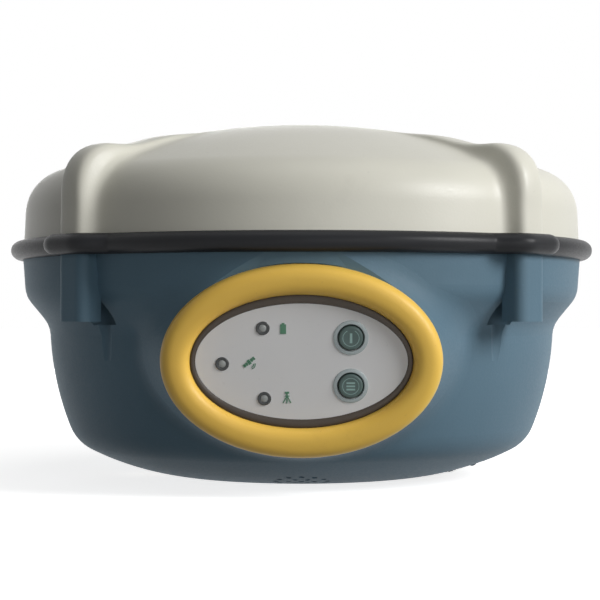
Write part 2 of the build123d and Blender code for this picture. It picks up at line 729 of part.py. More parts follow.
def pole_insert_screws():
    seat = FLOOR_PAD + 3
    return group(rod(2.75, seat, seat + 1.8, x, y) + rod(1.5, 2, seat, x, y) for x, y in on_circle(18))


def port_shell(x, y):
    body = rod(PORT_RADIUS, PORT_LIP, 18, x, y) + rod(8.0, IO_FLOOR - 1.5, IO_FLOOR, x, y)
    return body - rod(PORT_BORE, PORT_LIP - 1, 19, x, y)


def port_shells():
    return group(port_shell(x, y) for x, y in PORTS)


def pin_spots(x, y):
    ring = [(x + 2.6 * cos(radians(72 * k)), y + 2.6 * sin(radians(72 * k))) for k in range(5)]
    return ring


def port_inserts():
    shapes = []
    for x, y in PORTS:
        core = rod(PORT_BORE, 8, 16, x, y)
        for px, py in pin_spots(x, y):
            core -= rod(0.5, 7, 17, px, py)
        shapes.append(core)
    return group(shapes)


def port_pins():
    return group(rod(0.5, 6.3, 17.5, px, py) for x, y in PORTS for px, py in pin_spots(x, y))


def port_nuts():
    z0 = IO_FLOOR + WALL
    return group(hex_rod(17, z0, z0 + 3, x, y) - rod(PORT_RADIUS, z0 - 1, z0 + 4, x, y) for x, y in PORTS)


def port_cap(x, y):
    """Rubber cap over one socket, carried by a strap to its hinge knuckle."""
    inner = PORT_RADIUS + MOVING_GAP
    top = IO_FLOOR - 1.5 - MOVING_GAP
    cup = rod(inner + 1.5, 2.6, top, x, y)
    cup = fillet(cup.faces().sort_by(Axis.Z)[0].edges(), 0.6)
    strap = block((x + 4.6, CAP_HINGE[0]), (y - 4.2, y + 4.2), (CAP_HINGE[1] - 1.7, CAP_HINGE[1]))
    knuckle = rod_y(CAP_KNUCKLE, y - 4.2, y + 4.2, *CAP_HINGE)
    cap = cup + strap + knuckle - rod(inner, 3.8, top + 1, x, y)
    return cap - rod_y(CAP_PIN + RUNNING_GAP, y - 6, y + 6, *CAP_HINGE)


def cap_hinge_pins():
    return group(rod_y(CAP_PIN, y - 6.5, y + 6.5, *CAP_HINGE) for _, y in PORTS)


def antenna_connector():
    x, y = AERIAL
    body = rod(AERIAL_RADIUS, AERIAL_LIP, 22, x, y) + rod(8.0, AERIAL_FLOOR - 1.5, AERIAL_FLOOR, x, y)
    return body - rod(4.0, AERIAL_LIP - 1, 9, x, y) - rod(2.4, 8, 23, x, y)


def antenna_insulator():
    return tube(2.4, 0.7, 4.5, 20, *AERIAL)


def antenna_pin():
    return rod(0.7, 5.2, 23, *AERIAL)


def antenna_nut():
    z0 = AERIAL_FLOOR + WALL
    return hex_rod(15, z0, z0 + 3, *AERIAL) - rod(AERIAL_RADIUS, z0 - 1, z0 + 4, *AERIAL)


def speaker():
    cone = Pos(SPEAKER[0], SPEAKER[1], 11.75) * Cone(4, 10, 1.5)
    return rod(14.5, 11, 15.5, *SPEAKER) + rod(7, 15.5, 18, *SPEAKER) - cone


# ------------------------------------------------------------------ boards, aerial stack and cables
def lower_standoff(x, y):
    body = hex_rod(5.5, POST_TOP, MAIN_BOARD_Z, x, y) + rod(STUD, POST_TOP - 7, POST_TOP, x, y)
    return body - rod(STUD, MAIN_BOARD_Z - 6, MAIN_BOARD_Z + 1, x, y)


def lower_standoffs():
    return group(lower_standoff(x, y) for x, y in on_circle(POST_CIRCLE))


def upper_standoff(x, y):
    z0 = MAIN_BOARD_Z + BOARD
    body = hex_rod(5.5, z0, PLANE_Z, x, y) + rod(STUD, MAIN_BOARD_Z - 6, z0, x, y)
    return body - rod(STUD, PLANE_Z - 6, PLANE_Z + 1, x, y)


def upper_standoffs():
    return group(upper_standoff(x, y) for x, y in on_circle(POST_CIRCLE))


def antenna_screws():
    seat = PLANE_Z + PLANE_THICKNESS
    spots = on_circle(POST_CIRCLE)
    return group(rod(2.4, seat, seat + 1.6, x, y) + rod(STUD, PLANE_Z - 6, seat, x, y) for x, y in spots)


def main_board():
    board = rod(MAIN_BOARD_RADIUS, MAIN_BOARD_Z, MAIN_BOARD_Z + BOARD)
    for x, y in on_circle(POST_CIRCLE):
        board -= rod(STUD + LOOSE_HOLE, MAIN_BOARD_Z - 1, MAIN_BOARD_Z + 3, x, y)
    return board


def module(xs, ys, height):
    z0 = MAIN_BOARD_Z + BOARD
    return block(xs, ys, (z0, z0 + height))


def backup_cell():
    return rod(6.3, MAIN_BOARD_Z + BOARD, MAIN_BOARD_Z + BOARD + 3, 24, 40)


def antenna_ground_plane():
    plane = rod(PLANE_RADIUS, PLANE_Z, PLANE_Z + PLANE_THICKNESS)
    for x, y in on_circle(POST_CIRCLE):
        plane -= rod(STUD + LOOSE_HOLE, PLANE_Z - 1, PLANE_Z + 3, x, y)
    for x, y, _ in feed_spots():
        plane -= rod(1.5, PLANE_Z - 1, PLANE_Z + 3, x, y)
    return plane


def feed_spots():
    """Position and top of each feed pin: two to the lower patch, two to the upper one."""
    low = PLANE_Z + PLANE_THICKNESS + PATCH_HEIGHT
    high = low + METAL_LAYER + PATCH_HEIGHT
    return [(12, 12, low), (-12, 12, low), (8, -8, high), (-8, -8, high)]


def antenna_feed_pins():
    return group(rod(FEED_PIN, PLANE_Z - BOARD, top, x, y) for x, y, top in feed_spots())


def pierced(shape, tops, z0, z1):
    for x, y, top in feed_spots():
        if top in tops:
            shape -= rod(FEED_PIN, z0 - 1, z1 + 1, x, y)
    return shape


def lower_patch():
    z0 = PLANE_Z + PLANE_THICKNESS
    tops = {top for _, _, top in feed_spots()}
    return pierced(rod(LOWER_PATCH, z0, z0 + PATCH_HEIGHT), tops, z0, z0 + PATCH_HEIGHT)


def upper_patch():
    z0 = PLANE_Z + PLANE_THICKNESS + PATCH_HEIGHT + METAL_LAYER
    tops = {feed_spots()[-1][2]}
    return pierced(rod(UPPER_PATCH, z0, z0 + PATCH_HEIGHT), tops, z0, z0 + PATCH_HEIGHT)


def patch_radiators():
    low = PLANE_Z + PLANE_THICKNESS + PATCH_HEIGHT
    high = low + METAL_LAYER + PATCH_HEIGHT
    under = pierced(rod(38, low, low + METAL_LAYER), {feed_spots()[-1][2]}, low, low + METAL_LAYER)
    return group([under, rod(25, high, high + METAL_LAYER)])


def lna_board():
    board = rod(30, PLANE_Z - BOARD, PLANE_Z)
    return pierced(board, {top for _, _, top in feed_spots()}, PLANE_Z - BOARD, PLANE_Z)


def lna_shield():
    z1 = PLANE_Z - BOARD
    inside = block((-17.5, 17.5), (-17.5, 17.5), (z1 - 4.5, z1 + 1))
    return block((-18, 18), (-18, 18), (z1 - 5, z1)) - inside


def antenna_cable():
    """Thin coaxial lead from the amplifier board down to the positioning module."""
    top = PLANE_Z - BOARD
    foot = MAIN_BOARD_Z + BOARD + 5
    path = FilletPolyline((24, 0, top), (24, 0, foot + 16), (34, 8, foot + 9), (34, 8, foot), radius=5)
    return sweep(Plane(origin=path @ 0, z_dir=path % 0) * Circle(1.25), path=path)


def build():
    """Every node by name."""
    return {
        "top_cover": top_cover(),
        "rim_seal": rim_seal(),
        "lower_housing": lower_housing(),
        "panel_ring": panel_ring(),
        "panel_seal": panel_seal(),
        "panel_plate": panel_plate(),
        "key_bezels": key_bezels(),
        "led_bezels": led_bezels(),
        "led_lenses": led_lenses(),
        "power_key": key(KEY_Y),
        "function_key": key(-KEY_Y),
        "key_switches": key_switches(),
        "led_chips": led_chips(),
        "panel_board": panel_board(),
        "panel_screws": panel_screws(),
        "ring_screws": ring_screws(),
        "panel_ribbon": panel_ribbon(),
        "case_screws": case_screws(),
        "case_inserts": case_inserts(),
        "pole_insert": pole_insert(),
        "pole_insert_screws": pole_insert_screws(),
        "battery_door": battery_door(),
        "door_hinge_pin": door_hinge_pin(),
        "door_seal": door_seal(),
        "door_pad": door_pad(),
        "door_latch": door_latch(),
        "latch_pawl": latch_pawl(),
        "latch_screw": latch_screw(),
        "battery_pack": battery_pack(),
        "battery_contact_block": battery_contact_block(),
        "battery_contacts": battery_contacts(),
        "port_shells": port_shells(),
        "port_inserts": port_inserts(),
        "port_pins": port_pins(),
        "port_nuts": port_nuts(),
        "port_cap_a": port_cap(*PORTS[0]),
        "port_cap_b": port_cap(*PORTS[1]),
        "cap_hinge_pins": cap_hinge_pins(),
        "antenna_connector": antenna_connector(),
        "antenna_insulator": antenna_insulator(),
        "antenna_pin": antenna_pin(),
        "antenna_nut": antenna_nut(),
        "speaker": speaker(),
        "lower_standoffs": lower_standoffs(),
        "upper_standoffs": upper_standoffs(),
        "antenna_screws": antenna_screws(),
        "main_board": main_board(),
        "gnss_module": module((10, 50), (-22, 22), 5),
        "radio_module": module((-52, -12), (-10, 24), 6),
        "modem_module": module((-34, -4), (-48, -20), 3),
        "backup_cell": backup_cell(),
        "antenna_ground_plane": antenna_ground_plane(),
        "lower_patch": lower_patch(),
        "upper_patch": upper_patch(),
        "patch_radiators": patch_radiators(),
        "antenna_feed_pins": antenna_feed_pins(),
        "lna_board": lna_board(),
        "lna_shield": lna_shield(),
        "antenna_cable": antenna_cable(),
    }


def main():
    os.makedirs("parts", exist_ok=True)
    for name, shape in build().items():
        solids = shape.solids()
        if not solids or not all(solid.is_valid for solid in solids):
            raise ValueError(f"{name} is not a valid solid: a cut or a join in it failed")
        export_step(shape, f"parts/{name}.step")
        print(f"{name}: {len(solids)} solid(s), {shape.volume:.1f} mm3")


if __name__ == "__main__":
    main()
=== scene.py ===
"""Looks of a survey GNSS receiver: visible pieces, finishes, camera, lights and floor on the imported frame.

Shapes are worked out in millimetres, with Z up and the control panel facing -Y, and become metres when
their mesh is made.
"""
import json
from math import asin, atan2, cos, hypot, pi, radians, sin, sqrt, tan

import bmesh
import bpy
from bpy.props import FloatProperty, FloatVectorProperty, IntProperty, PointerProperty
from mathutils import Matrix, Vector


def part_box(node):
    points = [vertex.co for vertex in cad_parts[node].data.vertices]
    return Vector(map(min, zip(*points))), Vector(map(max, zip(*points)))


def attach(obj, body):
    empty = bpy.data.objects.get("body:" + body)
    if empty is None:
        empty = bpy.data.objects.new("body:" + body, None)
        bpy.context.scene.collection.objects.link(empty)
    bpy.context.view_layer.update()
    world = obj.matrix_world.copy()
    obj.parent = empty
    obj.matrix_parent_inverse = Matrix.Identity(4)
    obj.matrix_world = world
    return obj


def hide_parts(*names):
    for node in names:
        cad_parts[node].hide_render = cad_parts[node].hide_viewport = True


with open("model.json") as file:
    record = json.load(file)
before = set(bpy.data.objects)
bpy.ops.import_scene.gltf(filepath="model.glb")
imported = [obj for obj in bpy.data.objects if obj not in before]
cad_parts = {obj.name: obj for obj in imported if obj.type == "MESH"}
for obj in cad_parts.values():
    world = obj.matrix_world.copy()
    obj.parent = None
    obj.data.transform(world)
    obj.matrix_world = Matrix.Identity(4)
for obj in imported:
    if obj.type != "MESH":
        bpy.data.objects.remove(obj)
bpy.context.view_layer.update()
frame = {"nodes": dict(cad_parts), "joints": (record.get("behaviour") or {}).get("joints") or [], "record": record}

bl_info = {
    "name": "Survey receiver looks",
    "version": (1, 0, 0),
    "blender": (4, 5, 0),
    "location": "View3D > Sidebar > Receiver",
    "description": "Builds the visible pieces, finishes and studio of a survey satellite receiver",
    "category": "Object",
}

MM = 0.001
CORNERS = (45, 135, 225, 315)

# Lengths here are in millimetres. Spots are places on the panel's face, measured from its middle.
POWER_SPOT = (14.3, 7.1)
FUNCTION_SPOT = (14.3, -7.1)
KEY_SPOTS = (FUNCTION_SPOT, POWER_SPOT)
LAMP_SPOTS = ((-11.2, 9.9), (-23.0, -0.6), (-10.8, -10.9))
RING_INNER, RING_OUTER = (32.4, 19.7), (41.1, 28.7)    # half axes of the yellow ring
KEY_MARK = (1.6, 1.86)    # underside and face of a key's symbol, outwards from the panel's plane
PLATE_MARK = (0.9, 1.13)  # the same for a pictogram

PANEL_TILT = radians(10)
RIDGE_START = 34.0        # inside this radius of the dome there is no ridge
PLAIN_COLUMNS = 34        # columns of faces between two ridges
SWELL_FROM, SWELL_FULL = 14.5, 4.0    # beside a ridge's middle, where the band's swelling starts and is full
DOOR_RIB_STEP = 2.2
AERIAL_X = -52.0          # axis of the aerial connector


# ---- values a user may change
def linear(code):
    """Linear colour from a six-digit sRGB code."""
    parts = [int(code[i:i + 2], 16) / 255 for i in (0, 2, 4)]
    return tuple(p / 12.92 if p <= 0.04045 else ((p + 0.055) / 1.055) ** 2.4 for p in parts)


def length(name, about, default):
    return FloatProperty(name=name, description=about, default=default, min=0.0, unit="LENGTH", precision=5)


def tint(name, about, code):
    return FloatVectorProperty(name=name, description=about, default=linear(code), subtype="COLOR",
                               size=3, min=0.0, max=1.0)


class ReceiverSizes(bpy.types.PropertyGroup):
    """Sizes of the visible pieces."""
    cover_radius: length("Cover radius", "Outside radius of the cover at the joint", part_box("top_cover")[1].x)
    dome_top: length("Dome top", "Height of the top of the dome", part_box("top_cover")[1].z)
    cover_foot: length("Cover foot", "Height of the lower edge of the cover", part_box("top_cover")[0].z)
    dome_radius: length("Dome radius", "Radius of curvature of the dome", 0.220)
    shoulder: length("Shoulder", "Radius between the side of the cover and the dome", 0.0155)
    cover_wall: length("Cover wall", "Thickness of the moulded cover", 0.0028)
    ridge_reach: length("Ridge reach", "Distance from the axis to the outer face of a ridge", 0.0996)
    ridge_half: length("Ridge half width", "Half the width of a ridge", 0.0058)
    rim_radius: length("Rim radius", "Outermost point of the rubber band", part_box("rim_seal")[1].x)
    bead_radius: length("Bead radius", "Radius of the rubber bead's section", 0.00335)
    joint: length("Joint height", "Middle of the joint between cover and housing", 0.0753)
    panel_y: length("Panel depth", "Distance from the axis to the middle of the panel", 0.0875)
    panel_z: length("Panel height", "Height of the middle of the panel", 0.0406)
    screw_circle: length("Screw circle", "Distance of the case screws from the axis", 0.0875)
    thread_bore: length("Pole thread bore", "Minor radius of the pole thread", 0.0068)
    thread_pitch: length("Pole thread pitch", "Pitch of the pole thread", 0.002309)
    aerial_pitch: length("Aerial thread pitch", "Pitch of the aerial connector's thread", 0.000907)
    door_ribs: IntProperty(name="Door ribs", description="Grip ribs on the battery door", default=9, min=0)
    cap_ribs: IntProperty(name="Cap ribs", description="Grip ribs on each socket cap", default=20, min=0)


class ReceiverColours(bpy.types.PropertyGroup):
    """Colours of the finishes."""
    cover: tint("Cover", "Warm light grey plastic", "E0DED1")
    housing: tint("Housing", "Blue-grey plastic", "5E7989")
    rubber: tint("Rubber", "Band, caps and feet", "1C1D20")
    seal: tint("Seal", "Rubber lip around the plate", "33291E")
    ring: tint("Ring", "Warm yellow plastic", "FFCF5C")
    plate: tint("Plate", "Silver-grey faceplate", "EDEDED")
    key: tint("Keys", "Dark green key caps", "445855")
    key_mark: tint("Key marks", "Pale symbols on the keys", "9DBBB6")
    bezel: tint("Key rings", "Satin ring around a key", "98A2A3")
    mark: tint("Plate marks", "Green pictograms on the plate", "4E7F64")
    lens: tint("Lamp lenses", "Pale window over a lamp", "8F9492")
    lamp_ring: tint("Lamp rings", "Dark ring around a lamp", "26292A")
    steel: tint("Steel", "Screws, pins and inserts", "A9ABAD")


def sizes():
    return bpy.context.scene.receiver_sizes


def colours():
    return bpy.context.scene.receiver_colours


# ---- node trees
def feed(tree, socket, value):
    """Links a socket to another one or to a node's first output, or gives it a plain value."""
    if isinstance(value, bpy.types.Node):
        value = value.outputs[0]
    if isinstance(value, bpy.types.NodeSocket):
        tree.links.new(value, socket)
    else:
        socket.default_value = value


def add_node(tree, kind, inputs=None, **settings):
    """Adds a node; inputs are fed by name or number."""
    made = tree.nodes.new(kind)
    for name, value in settings.items():
        setattr(made, name, value)
    for name, value in (inputs or {}).items():
        feed(tree, made.inputs[name], value)
    return made


def shader_node(tree, kind, inputs=None, **settings):
    return add_node(tree, "ShaderNode" + kind, inputs, **settings)


def math_node(tree, operation, *values):
    return shader_node(tree, "Math", dict(enumerate(values)), operation=operation)


def ranged(tree, value, low, high, to_low=0.0, to_high=1.0):
    """Maps the values between two limits onto the range between two others, and holds them there."""
    return shader_node(tree, "MapRange", {"Value": value, "From Min": low, "From Max": high,
                                          "To Min": to_low, "To Max": to_high})


def new_group(name, inputs, outputs):
    """A shader group with float inputs {name: default}; returns it with the sockets on its inside."""
    tree = bpy.data.node_groups.new(name, "ShaderNodeTree")
    for label, default in inputs.items():
        socket = tree.interface.new_socket(label, in_out="INPUT", socket_type="NodeSocketFloat")
        socket.default_value = default
    for label in outputs:
        tree.interface.new_socket(label, in_out="OUTPUT", socket_type="NodeSocketFloat")
    return tree, tree.nodes.new("NodeGroupInput").outputs, tree.nodes.new("NodeGroupOutput").inputs


def moulded_grain():
    """Fine spark-eroded texture of a plastic mould, with a slow cloudy variation for the colour."""
    tree, ins, outs = new_group("Moulded grain", {"Cells": 1800.0, "Clouds": 22.0},
                                ("Height", "Clouds", "Specks"))
    place = shader_node(tree, "TexCoord").outputs["Object"]
    cells = shader_node(tree, "TexVoronoi", {"Vector": place, "Scale": ins["Cells"]}, feature="SMOOTH_F1")
    fine = shader_node(tree, "TexNoise", {"Vector": place, "Scale": ins["Cells"], "Detail": 3.0})
    feed(tree, outs["Height"], math_node(tree, "ADD", cells.outputs["Distance"], fine.outputs["Fac"]))
    clouds = shader_node(tree, "TexNoise", {"Vector": place, "Scale": ins["Clouds"], "Detail": 4.0,
                                            "Roughness": 0.55})
    feed(tree, outs["Clouds"], ranged(tree, clouds.outputs["Fac"], 0.32, 0.68))
    feed(tree, outs["Specks"], ranged(tree, fine.outputs["Fac"], 0.35, 0.65))


def handling_wear():
    """Mask of faint rubbed patches and short scratches."""
    tree, ins, outs = new_group("Handling wear", {"Patches": 35.0, "Cover": 0.62}, ("Mask",))
    place = shader_node(tree, "TexCoord").outputs["Object"]
    patch = shader_node(tree, "TexNoise", {"Vector": place, "Scale": ins["Patches"], "Detail": 6.0,
                                           "Roughness": 0.65})
    stretched = shader_node(tree, "Mapping", {"Vector": place, "Rotation": (0.5, 0.3, 0.9),
                                              "Scale": (900.0, 60.0, 900.0)})
    lines = shader_node(tree, "TexNoise", {"Vector": stretched, "Scale": 1.0, "Detail": 2.0})
    scratch = ranged(tree, lines.outputs["Fac"], 0.70, 0.76)
    upper = math_node(tree, "ADD", ins["Cover"], 0.12)
    rubbed = ranged(tree, patch.outputs["Fac"], ins["Cover"], upper)
    feed(tree, outs["Mask"], math_node(tree, "MAXIMUM", rubbed, scratch))


def machined_lines():
    """Fine parallel tool marks along one direction."""
    tree, ins, outs = new_group("Machined lines", {"Across": 6000.0, "Along": 150.0}, ("Height", "Streaks"))
    place = shader_node(tree, "TexCoord").outputs["Object"]
    scale = shader_node(tree, "CombineXYZ", {0: ins["Along"], 1: ins["Along"], 2: ins["Across"]})
    stretched = shader_node(tree, "VectorMath", {0: place, 1: scale}, operation="MULTIPLY")
    noise = shader_node(tree, "TexNoise", {"Vector": stretched, "Scale": 1.0, "Detail": 3.0})
    feed(tree, outs["Height"], noise.outputs["Fac"])
    feed(tree, outs["Streaks"], ranged(tree, noise.outputs["Fac"], 0.3, 0.7))


def worn_edges():
    """Mask of the convex edges, where a finish rubs pale."""
    tree, ins, outs = new_group("Worn edges", {"Start": 0.53, "End": 0.60}, ("Mask",))
    shape = shader_node(tree, "NewGeometry")
    feed(tree, outs["Mask"], ranged(tree, shape.outputs["Pointiness"], ins["Start"], ins["End"]))


def shade(colour, factor):
    return tuple(min(1.0, part * factor) for part in colour)


def mixed(tree, mask, first, second):
    """Colour between two others by a mask; each may be a socket or a plain colour."""
    first, second = ((*value, 1.0) if isinstance(value, tuple) else value for value in (first, second))
    return shader_node(tree, "Mix", {0: mask, 6: first, 7: second}, data_type="RGBA").outputs[2]


def finished(name):
    """The procedural finish made for a slot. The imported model's plain materials have the bare slot names."""
    return bpy.data.materials["finish_" + name]


def finish(name, colour, roughness, spread=0.06, cells=1800.0, depth=0.02, clouds=22.0, tone=0.9,
           wear=None, edges=None, lines=False, **plain):
    """A procedural finish.

    tone is the share of the colour left in its dark clouds, and the pale ones gain as much. wear is the
    colour of rubbed patches, edges the colour of worn edges, lines replaces the moulded grain by tool
    marks, and plain holds values of the shader's own sockets.
    """
    material = bpy.data.materials.new("finish_" + name)
    material.use_nodes = True
    tree = material.node_tree
    shader = tree.nodes["Principled BSDF"]

    def group(label, **inputs):
        return shader_node(tree, "Group", inputs, node_tree=bpy.data.node_groups[label]).outputs

    grain = group("Moulded grain", Cells=cells, Clouds=clouds)
    base = mixed(tree, grain["Clouds"], shade(colour, tone), shade(colour, 2 - tone))
    height, gloss = grain["Height"], grain["Specks"]
    if lines:
        tool = group("Machined lines")
        height, gloss = tool["Height"], tool["Streaks"]
        base = mixed(tree, gloss, base, shade(colour, 0.82))
    if wear:
        base = mixed(tree, group("Handling wear")["Mask"], base, wear)
    if edges:
        base = mixed(tree, group("Worn edges")["Mask"], base, edges)
    rough = ranged(tree, gloss, 0.0, 1.0, roughness - spread, roughness + spread)
    bump = shader_node(tree, "Bump", {"Height": height, "Strength": 0.6, "Distance": depth * MM})
    for label, value in {"Base Color": base, "Roughness": rough, "Normal": bump, **plain}.items():
        feed(tree, shader.inputs[label.replace("_", " ")], value)


# ---- meshes
def new_object(name, data):
    made = bpy.data.objects.new(name, data)
    bpy.context.scene.collection.objects.link(made)
    return made


def mesh_object(name, points, faces):
    """An object whose points are given in millimetres; doubles merged, faces outwards."""
    mesh = bpy.data.meshes.new(name)
    mesh.from_pydata([(x * MM, y * MM, z * MM) for x, y, z in points], [], faces)
    made = new_object(name, mesh)
    clean(made)
    return made


def clean(made):
    shape = bmesh.new()
    shape.from_mesh(made.data)
    bmesh.ops.remove_doubles(shape, verts=shape.verts, dist=0.002 * MM)
    bmesh.ops.dissolve_degenerate(shape, edges=shape.edges, dist=0.0005 * MM)
    bmesh.ops.recalc_face_normals(shape, faces=shape.faces)
    shape.to_mesh(made.data)
    shape.free()


def dress(made, finish_name, *replaced, body="receiver", sharp=38, slot=None):
    """Gives a piece its shading, finish and body, and hides the CAD nodes it stands for.

    The slot argument is not used.
    """
    mesh = made.data
    mesh.materials.clear()
    mesh.materials.append(finished(finish_name))
    mesh.shade_smooth()
    mesh.set_sharp_from_angle(angle=radians(sharp))
    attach(made, body)
    if replaced:
        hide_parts(*replaced)
    return made


def sheet_faces(rows, columns, ring=True, closed=False, start=0):
    """Quads over a grid of points.

    ring joins the last column to the first, and closed the last row to the first.
    """
    faces = []
    for i in range(rows if closed else rows - 1):
        for j in range(columns if ring else columns - 1):
            a, b = i * columns, (i + 1) % rows * columns
            k = (j + 1) % columns
            faces.append(tuple(start + n for n in (a + j, a + k, b + k, b + j)))
    return faces


def joined(pieces):
    """Several (points, faces) lists as one."""
    points, faces = [], []
    for more_points, more_faces in pieces:
        base = len(points)
        points += more_points
        faces += [tuple(base + n for n in face) for face in more_faces]
    return points, faces


def polar(radius, angle):
    return radius * cos(angle), radius * sin(angle)


def as_is(x, y, z):
    return x, y, z


def turned(profile, segments=96, closed=False, thread=0.0, place=as_is):
    """Lathe shape from (radius, height) or (radius, height, thread depth) points, round the local Z axis.

    An open profile starts and ends on the axis. thread is the pitch in millimetres.
    """
    points = []
    for radius, height, *depth in profile:
        for j in range(segments):
            angle = 2 * pi * j / segments
            grown = radius
            if depth and depth[0]:
                phase = (height / thread - j / segments) % 1.0
                grown += depth[0] * min(1.0, max(0.0, 1.35 * abs(2 * phase - 1) - 0.15))
            points.append(place(*polar(grown, angle), height))
    return points, sheet_faces(len(profile), segments, closed=closed)


def on_panel(x, y, n):
    """A point of the tilted panel: x right, y up, n outwards."""
    s, c = sin(PANEL_TILT), cos(PANEL_TILT)
    return x, -sizes().panel_y / MM - y * s - n * c, sizes().panel_z / MM + y * c - n * s


def panel_place(cx=0.0, cy=0.0):
    return lambda x, y, n: on_panel(cx + x, cy + y, n)


def prism(outline, low, high, place=as_is):
    """Straight block over a convex outline."""
    count = len(outline)
    points = [place(x, y, low) for x, y in outline] + [place(x, y, high) for x, y in outline]
    faces = [tuple(reversed(range(count))), tuple(range(count, 2 * count))]
    faces += [(i, (i + 1) % count, count + (i + 1) % count, count + i) for i in range(count)]
    return points, faces


def box_outline(x0, x1, y0, y1, angle=0.0, cx=0.0, cy=0.0):
    """Rectangle turned by an angle in degrees and moved."""
    c, s = cos(radians(angle)), sin(radians(angle))
    return [(cx + x * c - y * s, cy + x * s + y * c) for x, y in ((x0, y0), (x1, y0), (x1, y1), (x0, y1))]


def bar(x0, y0, x1, y1, width):
    """Rectangle along a line."""
    size = hypot(x1 - x0, y1 - y0)
    nx, ny = -(y1 - y0) / size * width / 2, (x1 - x0) / size * width / 2
    return [(x0 + nx, y0 + ny), (x0 - nx, y0 - ny), (x1 - nx, y1 - ny), (x1 + nx, y1 + ny)]


def arc_bars(cx, cy, radius, start, end, width, steps=8):
    """Short bars along an arc."""
    spots = [radians(start + (end - start) * i / steps) for i in range(steps + 1)]
    points = [(cx + radius * cos(a), cy + radius * sin(a)) for a in spots]
    return [bar(*a, *b, width) for a, b in zip(points, points[1:])]


def plain_mesh(made, name):
    """The evaluated shape of an object with modifiers, as a plain mesh in a new object."""
    graph = bpy.context.evaluated_depsgraph_get()
    mesh = bpy.data.meshes.new_from_object(made.evaluated_get(graph))
    bpy.data.objects.remove(made)
    return new_object(name, mesh)


# ---- repeats with Geometry Nodes
def repeat_tree(name, around):
    """Copies a template object around the Z axis or along a line, as realised copies with one finish."""
    tree = bpy.data.node_groups.new(name, "GeometryNodeTree")
    tree.interface.new_socket("Geometry", in_out="OUTPUT", socket_type="NodeSocketGeometry")
    sockets = {"Template": "Object", "Finish": "Material", "Count": "Int", "Centre": "Vector"}
    sockets.update({"Radius": "Float", "Start angle": "Float"} if around else {"Step": "Vector"})
    for label, kind in sockets.items():
        tree.interface.new_socket(label, in_out="INPUT", socket_type="NodeSocket" + kind)
    ins = tree.nodes.new("NodeGroupInput").outputs
    outs = tree.nodes.new("NodeGroupOutput").inputs

    def step(kind, **inputs):
        named = {label.replace("_", " "): value for label, value in inputs.items()}
        return add_node(tree, "GeometryNode" + kind, named)

    if around:
        spots = step("MeshLine", Count=ins["Count"], Offset=(0.0, 0.0, 0.0))
        share = math_node(tree, "DIVIDE", step("InputIndex"), ins["Count"])
        turn = math_node(tree, "MULTIPLY_ADD", share, 2 * pi, ins["Start angle"])
        east = math_node(tree, "COSINE", turn)
        north = math_node(tree, "SINE", turn)
        unit = shader_node(tree, "CombineXYZ", {0: east, 1: north})
        reach = shader_node(tree, "VectorMath", {0: unit, "Scale": ins["Radius"]}, operation="SCALE")
        spot = shader_node(tree, "VectorMath", {0: reach, 1: ins["Centre"]}, operation="ADD")
        spots = step("SetPosition", Geometry=spots, Position=spot)
        facing = shader_node(tree, "CombineXYZ", {2: turn})
    else:
        spots = step("MeshLine", Count=ins["Count"], Offset=ins["Step"], Start_Location=ins["Centre"])
        facing = (0.0, 0.0, 0.0)
    template = step("ObjectInfo", Object=ins["Template"])
    copies = step("InstanceOnPoints", Points=spots, Instance=template.outputs["Geometry"], Rotation=facing)
    real = step("RealizeInstances", Geometry=copies)
    feed(tree, outs[0], step("SetMaterial", Geometry=real, Material=ins["Finish"]))


def repeated(name, tree_name, template, **values):
    """Runs a repeat tree on a template and returns the copies as one plain mesh object."""
    tree = bpy.data.node_groups[tree_name]
    holder = new_object(name, bpy.data.meshes.new(name))
    modifier = holder.modifiers.new("Repeat", "NODES")
    modifier.node_group = tree
    identifiers = {s.name: s.identifier for s in tree.interface.items_tree if s.in_out == "INPUT"}
    modifier[identifiers["Template"]] = template
    for label, value in values.items():
        modifier[identifiers[label.replace("_", " ")]] = value
    plain = plain_mesh(holder, name)
    bpy.data.objects.remove(template)
    return plain


# ---- outlines of the shells
def softened(path, corner, radius):
    """Rounds one corner of a dense path of (r, z) points with a curve of about the given radius."""
    before, after = path[:corner + 1], path[corner:]
    heading = [atan2(b[1] - a[1], b[0] - a[0]) for a, b in ((before[-2], before[-1]), (after[0], after[1]))]
    bend = (heading[1] - heading[0] + pi) % (2 * pi) - pi
    reach = radius * tan(abs(bend) / 2)

    def walk(points):
        left = reach
        for i in range(len(points) - 1):
            step = hypot(points[i + 1][0] - points[i][0], points[i + 1][1] - points[i][1])
            if step >= left:
                share = left / step
                spot = tuple(a + (b - a) * share for a, b in zip(points[i], points[i + 1]))
                return i + 1, spot, atan2(points[i + 1][1] - points[i][1], points[i + 1][0] - points[i][0])
            left -= step
        raise ValueError("the corner's radius is longer than its side")

    back_count, start, back = walk(before[::-1])
    ahead_count, end, ahead = walk(after)
    handle = 4 / 3 * tan((pi - abs((ahead - back + pi) % (2 * pi) - pi)) / 4) * radius
    one = (start[0] - cos(back) * handle, start[1] - sin(back) * handle)
    two = (end[0] - cos(ahead) * handle, end[1] - sin(ahead) * handle)
    curve = []
    for i in range(25):
        t = i / 24
        weights = ((1 - t) ** 3, 3 * t * (1 - t) ** 2, 3 * t * t * (1 - t), t ** 3)
        curve.append(tuple(sum(w * p[k] for w, p in zip(weights, (start, one, two, end))) for k in (0, 1)))
    return before[:len(before) - back_count] + curve + after[ahead_count:]


def line_points(a, b, step=0.5):
    count = max(2, int(hypot(b[0] - a[0], b[1] - a[1]) / step))
    return [(a[0] + (b[0] - a[0]) * i / count, a[1] + (b[1] - a[1]) * i / count) for i in range(count)]


